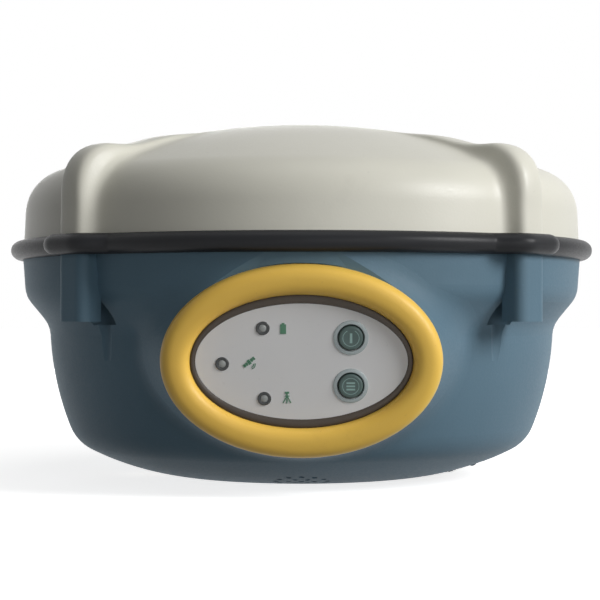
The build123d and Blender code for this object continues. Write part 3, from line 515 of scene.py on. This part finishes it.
def evenly(path, count):
    """A path resampled to equal steps."""
    travelled = [0.0]
    for a, b in zip(path, path[1:]):
        travelled.append(travelled[-1] + hypot(b[0] - a[0], b[1] - a[1]))
    points, k = [], 0
    for i in range(count):
        target = travelled[-1] * i / (count - 1)
        while k < len(path) - 2 and travelled[k + 1] < target:
            k += 1
        share = (target - travelled[k]) / max(1e-9, travelled[k + 1] - travelled[k])
        points.append(tuple(a + (b - a) * share for a, b in zip(path[k], path[k + 1])))
    return points


def dome_path(inset, count):
    """Half section of the cover from its foot to the middle of the dome."""
    s = sizes()
    radius = s.dome_radius / MM - inset
    centre = s.dome_top / MM - s.dome_radius / MM
    side = s.cover_radius / MM - inset
    foot = s.cover_foot / MM
    top_r = side - 1.0    # the side leans in by this much
    top_z = centre + sqrt(radius ** 2 - top_r ** 2)
    wall = line_points((side, foot), (top_r, top_z))
    radii = [top_r * (1 - i / 180) for i in range(181)]
    arc = [(r, centre + sqrt(radius ** 2 - r ** 2)) for r in radii]
    return evenly(softened(wall + arc, len(wall), s.shoulder / MM - inset), count)


def smooth_curve(knots, steps=10):
    """Catmull-Rom curve through knots."""
    ends = [knots[0]] + list(knots) + [knots[-1]]
    path = []
    for a, b, c, d in zip(ends, ends[1:], ends[2:], ends[3:]):
        for i in range(steps):
            t = i / steps
            path.append(tuple(0.5 * (2 * b[k] + (c[k] - a[k]) * t
                                     + (2 * a[k] - 5 * b[k] + 4 * c[k] - d[k]) * t * t
                                     + (3 * b[k] - a[k] - 3 * c[k] + d[k]) * t ** 3) for k in (0, 1)))
    return path + [knots[-1]]


def crest_path():
    """Line along the top of a ridge: up its outer face, over the shoulder, and down into the dome."""
    s = sizes()
    reach, foot, top = s.ridge_reach / MM, s.cover_foot / MM, s.dome_top / MM
    upright = line_points((reach, foot - 2), (reach - 0.9, top - 11.0))
    inward = smooth_curve([(reach - 0.9, top - 11.0), (86.0, top - 10.9), (81.0, top - 10.8),
                           (75.5, top - 10.3), (69.5, top - 8.7), (62.5, top - 6.9), (55.0, top - 5.9),
                           (48.0, top - 5.1), (40.0, top - 4.6), (30.0, top - 4.4)])
    return softened(upright + inward, len(upright), 13.0)


def crossing(start, heading, path, limit=14.0):
    """Distance from a point along a heading to a path, or 0 where they don't meet within a limit."""
    best = 0.0
    for a, b in zip(path, path[1:]):
        ex, ez = b[0] - a[0], b[1] - a[1]
        cross = heading[0] * ez - heading[1] * ex
        if abs(cross) < 1e-9:
            continue
        dx, dz = a[0] - start[0], a[1] - start[1]
        far = (dx * ez - dz * ex) / cross
        along = (dx * heading[1] - dz * heading[0]) / cross
        if 0 <= along <= 1 and 0 < far < limit:
            best = max(best, far)
    return best


# Cross-section of a ridge: distance from its middle in half widths, and share of its full height.
RIDGE_SECTION = ((0.0, 1.0), (0.26, 0.995), (0.5, 0.975), (0.66, 0.94), (0.78, 0.88), (0.87, 0.79),
                 (0.93, 0.68), (0.97, 0.56), (1.01, 0.43), (1.06, 0.31), (1.13, 0.20), (1.23, 0.115),
                 (1.36, 0.055), (1.55, 0.018), (1.8, 0.0), (2.1, 0.0))


def cover_grid(count):
    """Rows of points over the outside of the cover, and over its inside, with the same columns."""
    s = sizes()
    outer, inner = dome_path(0.0, count), dome_path(s.cover_wall / MM, count)
    crest = crest_path()
    heights = []
    for i, spot in enumerate(outer):
        a, b = outer[max(0, i - 1)], outer[min(count - 1, i + 1)]
        run = hypot(b[0] - a[0], b[1] - a[1])
        normal = ((b[1] - a[1]) / run, -(b[0] - a[0]) / run)
        heights.append((crossing(spot, normal, crest) if spot[0] > RIDGE_START else 0.0, normal))
    # heights averaged over seven rows, apart from the lowest six, which stay as they are
    lifts = [sum(heights[min(count - 1, max(0, i + k))][0] for k in range(-3, 4)) / 7 for i in range(count)]
    lifts[:6] = [heights[i][0] for i in range(6)]
    half = s.ridge_half / MM
    across = [-t * half for t, _ in RIDGE_SECTION[:0:-1]] + [t * half for t, _ in RIDGE_SECTION]
    share = [w for _, w in RIDGE_SECTION[:0:-1]] + [w for _, w in RIDGE_SECTION]
    outside, inside = [], []
    for i in range(count):
        radius, height = outer[i]
        reach = max(radius, 40.0)    # a ridge keeps its width down to this radius
        lift, normal = lifts[i], heights[i][1]
        for corner in CORNERS:
            middle = radians(corner)
            for t, w in zip(across, share):
                angle = middle + asin(t / reach)
                out = lift * w
                outside.append((radius * cos(angle) + normal[0] * out * cos(middle),
                                radius * sin(angle) + normal[0] * out * sin(middle),
                                height + normal[1] * out))
                inside.append((*polar(inner[i][0], angle), inner[i][1]))
            first = middle + asin(across[-1] / reach)
            last = middle + pi / 2 - asin(across[-1] / reach)
            for k in range(1, PLAIN_COLUMNS):
                angle = first + (last - first) * k / PLAIN_COLUMNS
                outside.append((*polar(radius, angle), height))
                inside.append((*polar(inner[i][0], angle), inner[i][1]))
    columns = len(outside) // count
    return outside, inside, columns


# ---- operators
class PieceOperator:
    """What every operator here shares: run its build function and report it done."""
    bl_options = {"REGISTER", "UNDO"}

    def execute(self, context):
        self.build()
        return {"FINISHED"}


class RECEIVER_OT_finishes(PieceOperator, bpy.types.Operator):
    """Make the procedural finishes and the repeat trees, and finish the pieces that keep their CAD shape"""
    bl_idname = "receiver.finishes"
    bl_label = "Finishes"

    def build(self):
        moulded_grain()
        handling_wear()
        machined_lines()
        worn_edges()
        repeat_tree("Repeat around", True)
        repeat_tree("Repeat along", False)
        c = colours()
        finish("cover_plastic", c.cover, 0.40, cells=1500, depth=0.020, tone=0.975,
               wear=shade(c.cover, 0.955), Specular_IOR_Level=0.42)
        finish("housing_plastic", c.housing, 0.55, cells=1400, depth=0.030, tone=0.955,
               wear=shade(c.housing, 1.09), Specular_IOR_Level=0.22)
        finish("rim_rubber", c.rubber, 0.40, cells=2200, depth=0.018, tone=0.85, wear=shade(c.rubber, 1.4),
               Specular_IOR_Level=0.18)
        finish("seal_rubber", c.seal, 0.55, cells=2200, depth=0.015, tone=0.85)
        finish("ring_yellow", c.ring, 0.43, cells=1500, depth=0.018, tone=0.97, wear=shade(c.ring, 0.93),
               edges=shade(c.ring, 1.08), Specular_IOR_Level=0.42)
        finish("plate_grey", c.plate, 0.42, cells=3200, depth=0.008, tone=0.975, wear=shade(c.plate, 0.95),
               Specular_IOR_Level=0.40)
        finish("bezel_metal", c.bezel, 0.40, Metallic=0.25, cells=3000, depth=0.008, tone=0.94)
        finish("lamp_bezel", c.lamp_ring, 0.35, cells=3000, depth=0.008, tone=0.85)
        finish("key_green", c.key, 0.50, cells=2600, depth=0.012, tone=0.93, edges=shade(c.key, 1.35))
        finish("key_mark", c.key_mark, 0.45, cells=3000, depth=0.005, tone=0.95)
        finish("plate_mark", c.mark, 0.45, cells=3000, depth=0.005, tone=0.92)
        finish("lens_clear", c.lens, 0.16, spread=0.04, cells=900, depth=0.004, tone=0.9,
               Coat_Weight=0.5, Coat_Roughness=0.08)
        finish("steel", c.steel, 0.30, Metallic=1.0, depth=0.006, lines=True, wear=shade(c.steel, 0.7))
        finish("stainless", shade(c.steel, 0.80), 0.36, Metallic=1.0, depth=0.005, lines=True)
        finish("brass", linear("C9A24C"), 0.30, Metallic=1.0, depth=0.006, lines=True, wear=linear("8B6E35"))
        finish("gold_contact", linear("E2B653"), 0.22, Metallic=1.0, cells=2500, depth=0.003, tone=0.92)
        finish("connector_metal", linear("C3C2BB"), 0.27, Metallic=1.0, depth=0.005, lines=True)
        finish("copper", linear("C4774B"), 0.30, Metallic=1.0, cells=2500, depth=0.004, tone=0.88,
               wear=linear("8A4F33"))
        finish("antenna_metal", linear("B9BBBC"), 0.34, Metallic=1.0, depth=0.004, lines=True)
        finish("module_can", linear("B4B6B6"), 0.33, Metallic=1.0, cells=900, depth=0.006, tone=0.9,
               wear=linear("8D9091"))
        finish("circuit_board", linear("1D5B3A"), 0.35, cells=900, depth=0.010, clouds=140, tone=0.75,
               Coat_Weight=0.3, Coat_Roughness=0.15)
        finish("patch_ceramic", linear("D9D2BF"), 0.60, cells=1200, depth=0.015, tone=0.93)
        finish("insulator", linear("EFEDE4"), 0.42, cells=2200, depth=0.006, tone=0.96)
        finish("dark_insulator", linear("232427"), 0.48, cells=2200, depth=0.010, tone=0.88)
        finish("battery_plastic", linear("2E3236"), 0.45, cells=1500, depth=0.020, tone=0.88,
               wear=linear("4A4F53"))
        finish("switch_black", linear("1E1F21"), 0.5, cells=2500, depth=0.008, tone=0.85)
        finish("lamp_chip", linear("E8E6C8"), 0.3, cells=2500, depth=0.004, tone=0.9)
        finish("foam", linear("3A3B3D"), 0.9, cells=900, depth=0.12, tone=0.8)
        finish("cable_black", linear("202124"), 0.5, cells=2500, depth=0.010, tone=0.85)
        finish("ribbon", linear("C99A45"), 0.4, depth=0.010, lines=True, tone=0.92)
        finish("speaker_frame", linear("3B3D40"), 0.42, Metallic=0.4, cells=1500, depth=0.012, tone=0.85)
        slots = {part["node"]: part["material_slot"] for part in frame["record"]["subparts"]}
        for node, shape in frame["nodes"].items():
            for slot in shape.material_slots:
                slot.material = finished(slots[node])


class RECEIVER_OT_cover(PieceOperator, bpy.types.Operator):
    """Build the domed cover with its four ridges"""
    bl_idname = "receiver.cover"
    bl_label = "Cover"

    def build(self):
        rows = 104
        outside, inside, columns = cover_grid(rows)
        faces = sheet_faces(rows, columns)
        faces += sheet_faces(rows, columns, start=len(outside))
        shift = len(outside)
        for j in range(columns):
            k = (j + 1) % columns
            faces.append((j, k, shift + k, shift + j))
        shell = mesh_object("cover_shell", outside + inside, faces)
        dress(shell, "cover_plastic", "top_cover", sharp=60)


class RECEIVER_OT_rim(PieceOperator, bpy.types.Operator):
    """Build the rubber band that runs round the joint and swells over the ridges"""
    bl_idname = "receiver.rim"
    bl_label = "Rim band"

    def build(self):
        s = sizes()
        bead, joint = s.bead_radius / MM, s.joint / MM
        centre = s.rim_radius / MM - bead
        swell = s.ridge_reach / MM - s.cover_radius / MM - 0.4
        points = []
        spots = 900
        path = []
        for j in range(spots):
            angle = 2 * pi * j / spots
            offset = (angle - pi / 4) % (pi / 2)
            offset = min(offset, pi / 2 - offset)
            across = centre * sin(offset)
            share = min(1.0, max(0.0, (SWELL_FROM - across) / (SWELL_FROM - SWELL_FULL)))
            bulge = swell * (0.5 - 0.5 * cos(pi * share))
            path.append(polar(centre + bulge, angle))
        section = []
        for i in range(30):    # a bead open to the inside, a little flattened above and below
            turn = radians(-150 + 300 * i / 29)
            squeeze = 0.94 if abs(sin(turn)) > 0.5 else 1.0
            section.append((bead * cos(turn), bead * squeeze * sin(turn)))
        section += [(-3.2, 0.78), (-3.2, -0.78)]
        for j, (x, y) in enumerate(path):
            bx, by = path[j - 1]
            fx, fy = path[(j + 1) % spots]
            run = hypot(fx - bx, fy - by)
            nx, ny = (fy - by) / run, -(fx - bx) / run
            points += [(x + nx * r, y + ny * r, joint + z) for r, z in section]
        band = mesh_object("rim_band", points, sheet_faces(spots, len(section), closed=True))
        dress(band, "rim_rubber", "rim_seal", sharp=50)


def swept_oval(section, inner, outer, segments=192):
    """Sweeps (share, n) points round an oval; share 0 is on the inner oval and 1 on the outer."""
    points = []
    for share, n in section:
        for j in range(segments):
            angle = 2 * pi * j / segments
            a = inner[0] + (outer[0] - inner[0]) * share
            b = inner[1] + (outer[1] - inner[1]) * share
            points.append(on_panel(a * cos(angle), b * sin(angle), n))
    return points, sheet_faces(len(section), segments, closed=True)


class RECEIVER_OT_panel(PieceOperator, bpy.types.Operator):
    """Build the yellow ring, the rubber lip, the faceplate and the rings round the keys and lamps"""
    bl_idname = "receiver.panel"
    bl_label = "Front panel"

    def build(self):
        section = []
        for i in range(29):
            turn = pi * (1 - i / 28)
            x = cos(turn)
            share = 0.5 + 0.5 * (abs(x) ** 0.80) * (1 if x > 0 else -1)
            section.append((share, 0.35 + 4.1 * sin(turn) ** 0.86))
        section += [(1.0, 0.0), (0.5, 0.0), (0.0, 0.0)]
        ring = mesh_object("panel_ring_moulding", *swept_oval(section, RING_INNER, RING_OUTER))
        dress(ring, "ring_yellow", "panel_ring", sharp=50)
        lip = [(-0.15, -0.7), (-0.15, 0.9), (0.0, 1.25), (0.3, 1.5), (0.7, 1.5), (1.0, 1.2), (1.0, -1.5),
               (-1.6, -1.5), (-1.6, -0.7)]
        seal = mesh_object("panel_lip", *swept_oval(lip, (31.0, 17.4), RING_INNER))
        dress(seal, "seal_rubber", "panel_seal", sharp=40)
        self.plate()
        round_key = [(3.9, 1.0), (3.9, 1.18), (4.05, 1.3), (4.9, 1.3), (5.1, 1.16), (5.1, 1.0)]
        rings = [turned(round_key, closed=True, place=panel_place(*spot)) for spot in KEY_SPOTS]
        dress(mesh_object("key_rings", *joined(rings)), "bezel_metal", "key_bezels")
        round_lamp = [(1.15, 1.0), (1.15, 1.2), (1.3, 1.3), (1.85, 1.3), (2.0, 1.18), (2.0, 1.0)]
        rings = [turned(round_lamp, 48, True, place=panel_place(*spot)) for spot in LAMP_SPOTS]
        dress(mesh_object("lamp_rings", *joined(rings)), "lamp_bezel", "led_bezels")
        lens = [(0.0, -6.3), (1.0, -6.3), (1.0, -1.5), (1.88, -1.5), (1.88, -0.72), (1.13, -0.7),
                (1.13, 1.12), (0.95, 1.24), (0.6, 1.33), (0.25, 1.37), (0.0, 1.38)]
        lenses = [turned(lens, 40, place=panel_place(*spot)) for spot in LAMP_SPOTS]
        dress(mesh_object("lamp_lenses", *joined(lenses)), "lens_clear", "led_lenses")

    def plate(self):
        """Oval faceplate with its key and lamp holes, edges rounded."""
        curve = bpy.data.curves.new("faceplate", "CURVE")
        curve.dimensions = "2D"
        curve.fill_mode = "BOTH"
        curve.extrude = 0.65 * MM
        curve.bevel_depth = 0.2 * MM
        curve.bevel_resolution = 2
        curve.offset = -0.2 * MM
        holes = [(*spot, 3.85, 3.85, 72) for spot in KEY_SPOTS]
        holes += [(*spot, 1.16, 1.16, 40) for spot in LAMP_SPOTS]
        for cx, cy, a, b, count in [(0.0, 0.0, 30.95, 17.35, 160)] + holes:
            loop = curve.splines.new("POLY")
            loop.points.add(count - 1)
            for i, point in enumerate(loop.points):
                angle = 2 * pi * i / count
                point.co = ((cx + a * cos(angle)) * MM, (cy + b * sin(angle)) * MM, 0.0, 1.0)
            loop.use_cyclic_u = True
        made = plain_mesh(bpy.data.objects.new("faceplate", curve), "faceplate")
        for vertex in made.data.vertices:
            x, y, n = (v / MM for v in vertex.co)
            vertex.co = Vector(on_panel(x, y, n + 0.15)) * MM
        clean(made)
        dress(made, "plate_grey", "panel_plate", sharp=8)


class RECEIVER_OT_keys(PieceOperator, bpy.types.Operator):
    """Build the two keys with their generic symbols"""
    bl_idname = "receiver.keys"
    bl_label = "Keys"

    def build(self):
        profile = [(0.0, -3.0), (1.5, -3.0), (1.5, -2.2), (4.6, -2.2), (4.6, -1.0), (3.55, -1.0),
                   (3.55, 1.35), (3.5, 1.58), (3.38, 1.75), (3.18, 1.86), (2.95, 1.9), (2.6, 1.88),
                   (2.0, 1.80), (1.0, 1.74), (0.0, 1.72)]
        power = [box_outline(-0.36, 0.36, -1.45, 1.45)] + arc_bars(0, 0, 2.45, 62, -242, 0.34, 40)
        menu = [box_outline(-1.25, 1.25, y - 0.24, y + 0.24) for y in (-0.95, 0.0, 0.95)]
        menu += arc_bars(0, 0, 2.45, 0, 360, 0.3, 48)
        keys = (("power_key", POWER_SPOT, power), ("function_key", FUNCTION_SPOT, menu))
        for name, spot, _ in keys:
            cap = mesh_object(name + "_cap", *turned(profile, place=panel_place(*spot)))
            dress(cap, "key_green", name, body=name, sharp=35)
        for name, spot, mark in keys:
            solids = [prism(part, *KEY_MARK, panel_place(*spot)) for part in mark]
            dress(mesh_object(name + "_mark", *joined(solids)), "key_mark", body=name, slot="key_green")


class RECEIVER_OT_marks(PieceOperator, bpy.types.Operator):
    """Build the raised green pictograms: battery, satellite and tripod"""
    bl_idname = "receiver.marks"
    bl_label = "Pictograms"

    def build(self):
        battery = [box_outline(-0.85, 0.85, -1.55, 1.25), box_outline(-0.4, 0.4, 1.25, 1.65)]
        satellite = [box_outline(-0.42, 0.42, -0.75, 0.75, 40)]
        satellite += [box_outline(0.6 + k * 0.78, 1.25 + k * 0.78, -0.5, 0.5, 40) for k in (0, 1)]
        satellite += [box_outline(-1.25 - k * 0.78, -0.6 - k * 0.78, -0.5, 0.5, 40) for k in (0, 1)]
        satellite += [box_outline(-2.0, 2.0, -0.1, 0.1, 40)]
        satellite += arc_bars(0.55, -0.75, 0.75, -80, 20, 0.26, 5)
        satellite += arc_bars(0.55, -0.75, 1.25, -80, 20, 0.24, 6)
        tripod = [box_outline(-0.62, 0.62, 1.15, 1.75), box_outline(-0.22, 0.22, 0.3, 1.2),
                  bar(0, 0.5, -1.15, -1.6, 0.3), bar(0, 0.5, 1.15, -1.6, 0.3), bar(0, 0.5, 0, -1.7, 0.3),
                  box_outline(-0.7, 0.7, 0.3, 0.6)]
        solids = []
        for parts, x, y in ((battery, -5.3, 9.8), (satellite, -15.2, -0.1), (tripod, -4.2, -10.6)):
            solids += [prism(part, *PLATE_MARK, panel_place(x, y)) for part in parts]
        dress(mesh_object("panel_pictograms", *joined(solids)), "plate_mark", slot="plate_grey")


class RECEIVER_OT_door(PieceOperator, bpy.types.Operator):
    """Build the battery door's grip ribs and its slotted latch knob"""
    bl_idname = "receiver.door"
    bl_label = "Battery door"

    def build(self):
        y0, y1 = (corner.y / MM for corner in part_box("door_latch"))
        latch = next(joint for joint in frame["joints"] if joint["name"] == "door_latch_turn")
        latch_x, door_face, latch_z = (value / MM for value in latch["pos_m"])
        rib = [(-0.55, -9.0), (0.55, -9.0), (0.55, 9.0), (-0.55, 9.0)]
        low = prism(rib, 0, 0.25, lambda x, z, y: (x, y, z))
        top = prism([(x * 0.55, z * 0.975) for x, z in rib], 0.25, 0.55, lambda x, z, y: (x, y, z))
        template = mesh_object("door_rib", *joined([low, top]))
        count = sizes().door_ribs
        first = 1.5 - (count - 1) * DOOR_RIB_STEP / 2
        ribs = repeated("door_grip_ribs", "Repeat along", template, Finish=finished("housing_plastic"),
                        Count=count, Step=(DOOR_RIB_STEP * MM, 0.0, 0.0),
                        Centre=(first * MM, (door_face - 0.05) * MM, latch_z * MM))
        dress(ribs, "housing_plastic", body="battery_door")
        seat = door_face + 0.3
        profile = [(0.0, y0), (2.5, y0), (2.5, seat), (5.75, seat), (6.0, seat + 0.25), (6.0, y1 - 0.55),
                   (5.9, y1 - 0.25), (5.65, y1 - 0.06), (5.3, y1), (0.0, y1)]

        def on_latch(x, z, y):
            return latch_x + x, y, latch_z + z

        knob = mesh_object("latch_knob", *turned(profile, place=on_latch))
        slot = mesh_object("slot_cutter", *prism(box_outline(-0.8, 0.8, -7, 7), y1 - 1.1, y1 + 1, on_latch))
        cut = knob.modifiers.new("Slot", "BOOLEAN")
        cut.operation = "DIFFERENCE"
        cut.object = slot
        knob = plain_mesh(knob, "latch_knob")
        bpy.data.objects.remove(slot)
        clean(knob)
        dress(knob, "stainless", "door_latch", body="door_latch", sharp=35)
        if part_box("battery_door")[1].y / MM < door_face - 0.01:
            raise ValueError("the battery door's face isn't where its ribs are")


class RECEIVER_OT_underside(PieceOperator, bpy.types.Operator):
    """Build the threaded pole insert, the threaded aerial connector, the case screws and the caps' ribs"""
    bl_idname = "receiver.underside"
    bl_label = "Underside"

    def build(self):
        s = sizes()
        bore, pitch = s.thread_bore / MM, s.thread_pitch / MM
        wall = [(bore, 15.2 - k * pitch / 8, 1.05) for k in range(int(13.6 / pitch * 8))]
        profile = [(0.0, 20.0), (13.0, 20.0), (13.0, 9.0), (22.0, 9.0), (22.0, 6.0), (13.0, 6.0),
                   (13.0, 0.35), (12.7, 0.0), (8.6, 0.0), (bore + 1.1, 0.75)]
        profile += wall[::-1] + [(bore, 16.0), (0.0, 16.0)]
        insert = mesh_object("pole_socket", *turned(profile, thread=pitch))
        dress(insert, "stainless", "pole_insert", sharp=30)
        pitch = s.aerial_pitch / MM
        thread = [(5.48, 3.6 + k * pitch / 8, -0.42) for k in range(int(6.2 / pitch * 8))]
        profile = [(2.4, 21.0), (5.5, 21.0), (5.5, 12.0), (8.0, 12.0), (8.0, 10.5), (5.2, 10.5), (5.2, 9.9)]
        profile += thread[::-1] + [(5.2, 3.3), (5.0, 3.0), (4.2, 3.0), (4.0, 3.25), (4.0, 9.0), (2.4, 9.0)]
        socket = mesh_object("aerial_socket", *turned(profile, closed=True, thread=pitch,
                                                      place=lambda x, y, z: (x + AERIAL_X, y, z)))
        dress(socket, "connector_metal", "antenna_connector", sharp=30)
        low, high = (corner.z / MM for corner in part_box("case_screws"))
        head = [(0.0, low + 2.2), (2.0, low + 2.2), (2.3, low + 1.9), (2.3, low + 0.15), (2.6, low),
                (3.1, low), (3.5, low + 0.4), (3.5, low + 3.6), (1.95, low + 3.6), (1.95, high - 0.5),
                (1.5, high), (0.0, high)]
        points, faces = turned(head, 60)
        for i, (x, y, z) in enumerate(points):
            if 1.9 < hypot(x, y) <= 2.31 and z < low + 2.3:
                angle = atan2(y, x) % (pi / 3) - pi / 6
                scale = cos(pi / 6) / cos(angle)
                points[i] = (x * scale, y * scale, z)
        template = mesh_object("screw", points, faces)
        screws = repeated("case_screw_set", "Repeat around", template, Finish=finished("steel"), Count=4,
                          Radius=s.screw_circle, Start_angle=pi / 4)
        dress(screws, "steel", "case_screws", sharp=30)
        for name in ("port_cap_a", "port_cap_b"):
            lower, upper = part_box(name)
            radius = (upper.y - lower.y) / 2
            centre = (lower.x + radius, (lower.y + upper.y) / 2, 0.0)
            outline = box_outline(-1.3, 1.3, -0.3, 0.3)
            rib = mesh_object("cap_rib", *prism(outline, 2.2, 2.7))
            ribs = repeated(name + "_ribs", "Repeat around", rib, Finish=finished("rim_rubber"),
                            Count=s.cap_ribs, Radius=5.0 * MM, Centre=centre)
            dress(ribs, "rim_rubber", body=name)


class RECEIVER_OT_stage(PieceOperator, bpy.types.Operator):
    """Set the pale floor, the soft studio light and the camera"""
    bl_idname = "receiver.stage"
    bl_label = "Stage"

    def build(self):
        scene = bpy.context.scene
        scene.view_settings.view_transform = "Standard"
        self.world(scene)
        self.floor()
        self.lamp("key_light", Vector((0.88, -0.47, 0.46)), 1.25, 0.55, 11.5)
        self.lamp("top_light", Vector((0.10, -0.25, 1.0)), 1.1, 0.9, 1.5)
        self.lamp("fill_light", Vector((0.35, -1.0, 0.05)), 1.2, 0.7, 2.1)
        self.lamp("back_light", Vector((-0.10, 1.0, 0.08)), 1.2, 0.7, 3.0)
        camera = new_object("camera", bpy.data.cameras.new("camera"))
        camera.data.lens = 105.84
        camera.data.sensor_width = 36.0
        camera.data.clip_start = 0.01
        camera.data.shift_x = -0.0025
        camera.location = (0.0, -0.6, 0.054)
        camera.rotation_euler = (radians(90.487), 0.0, 0.0)
        scene.camera = camera

    def seen(self, tree):
        """1 for what the camera sees, straight or through a reflection or glass."""
        rays = shader_node(tree, "LightPath").outputs
        pair = math_node(tree, "MAXIMUM", rays["Is Camera Ray"], rays["Is Glossy Ray"])
        return math_node(tree, "MAXIMUM", pair, rays["Is Transmission Ray"])

    def world(self, scene):
        world = bpy.data.worlds.new("studio")
        scene.world = world
        world.use_nodes = True
        tree = world.node_tree
        tree.nodes.clear()
        dim = shader_node(tree, "Background", {"Color": (0.93, 0.97, 1.0, 1.0), "Strength": 0.05})
        white = shader_node(tree, "Background", {"Color": (1.0, 1.0, 1.0, 1.0), "Strength": 1.0})
        both = shader_node(tree, "MixShader", {0: self.seen(tree), 1: dim, 2: white})
        shader_node(tree, "OutputWorld", {"Surface": both})

    def floor(self):
        size = 6000.0
        floor = mesh_object("floor", [(-size, -size, -0.02), (size, -size, -0.02), (size, size, -0.02),
                                      (-size, size, -0.02)], [(0, 1, 2, 3)])
        material = bpy.data.materials.new("floor_white")
        material.use_nodes = True
        tree = material.node_tree
        tree.nodes.clear()
        place = shader_node(tree, "TexCoord").outputs["Object"]
        noise = shader_node(tree, "TexNoise", {"Vector": place, "Scale": 40.0, "Detail": 3.0})
        tone = mixed(tree, noise.outputs["Fac"], (0.74, 0.74, 0.74), (0.78, 0.78, 0.78))
        matt = shader_node(tree, "BsdfDiffuse", {"Color": tone})
        far = shader_node(tree, "VectorMath", {0: place}, operation="LENGTH")
        rise = ranged(tree, far.outputs["Value"], 0.10, 0.30, 0.80)
        glow = shader_node(tree, "Emission", {"Color": (1.0, 1.0, 1.0, 1.0), "Strength": rise})
        pale = shader_node(tree, "AddShader", {0: matt, 1: glow})
        dull = shader_node(tree, "BsdfDiffuse", {"Color": (0.22, 0.22, 0.22, 1.0)})
        both = shader_node(tree, "MixShader", {0: self.seen(tree), 1: dull, 2: pale})
        shader_node(tree, "OutputMaterial", {"Surface": both})
        floor.data.materials.append(material)

    def lamp(self, name, direction, distance, size, power):
        light = bpy.data.lights.new(name, "AREA")
        light.shape = "DISK"
        light.size = size
        light.energy = power
        made = new_object(name, light)
        made.location = direction.normalized() * distance + Vector((0.0, 0.0, 0.06))
        made.rotation_euler = direction.to_track_quat("Z", "Y").to_euler()


class RECEIVER_PT_panel(bpy.types.Panel):
    """Lists the receiver's operators, sizes and colours"""
    bl_idname = "RECEIVER_PT_panel"
    bl_label = "Survey receiver"
    bl_space_type = "VIEW_3D"
    bl_region_type = "UI"
    bl_category = "Receiver"

    def draw(self, context):
        for operator in OPERATORS:
            self.layout.operator(operator.bl_idname)
        for group in (context.scene.receiver_sizes, context.scene.receiver_colours):
            column = self.layout.column()
            for name in group.bl_rna.properties.keys():
                if name not in ("rna_type", "name"):
                    column.prop(group, name)


OPERATORS = (RECEIVER_OT_finishes, RECEIVER_OT_cover, RECEIVER_OT_rim, RECEIVER_OT_panel, RECEIVER_OT_keys,
             RECEIVER_OT_marks, RECEIVER_OT_door, RECEIVER_OT_underside, RECEIVER_OT_stage)
CLASSES = (ReceiverSizes, ReceiverColours, *OPERATORS, RECEIVER_PT_panel)


def register():
    for kind in CLASSES:
        bpy.utils.register_class(kind)
    bpy.types.Scene.receiver_sizes = PointerProperty(type=ReceiverSizes)
    bpy.types.Scene.receiver_colours = PointerProperty(type=ReceiverColours)


def unregister():
    del bpy.types.Scene.receiver_colours
    del bpy.types.Scene.receiver_sizes
    for kind in reversed(CLASSES):
        bpy.utils.unregister_class(kind)


def main():
    register()
    bpy.ops.receiver.finishes()
    bpy.ops.receiver.cover()
    bpy.ops.receiver.rim()
    bpy.ops.receiver.panel()
    bpy.ops.receiver.keys()
    bpy.ops.receiver.marks()
    bpy.ops.receiver.door()
    bpy.ops.receiver.underside()
    bpy.ops.receiver.stage()


if __name__ == "__main__":
    main()
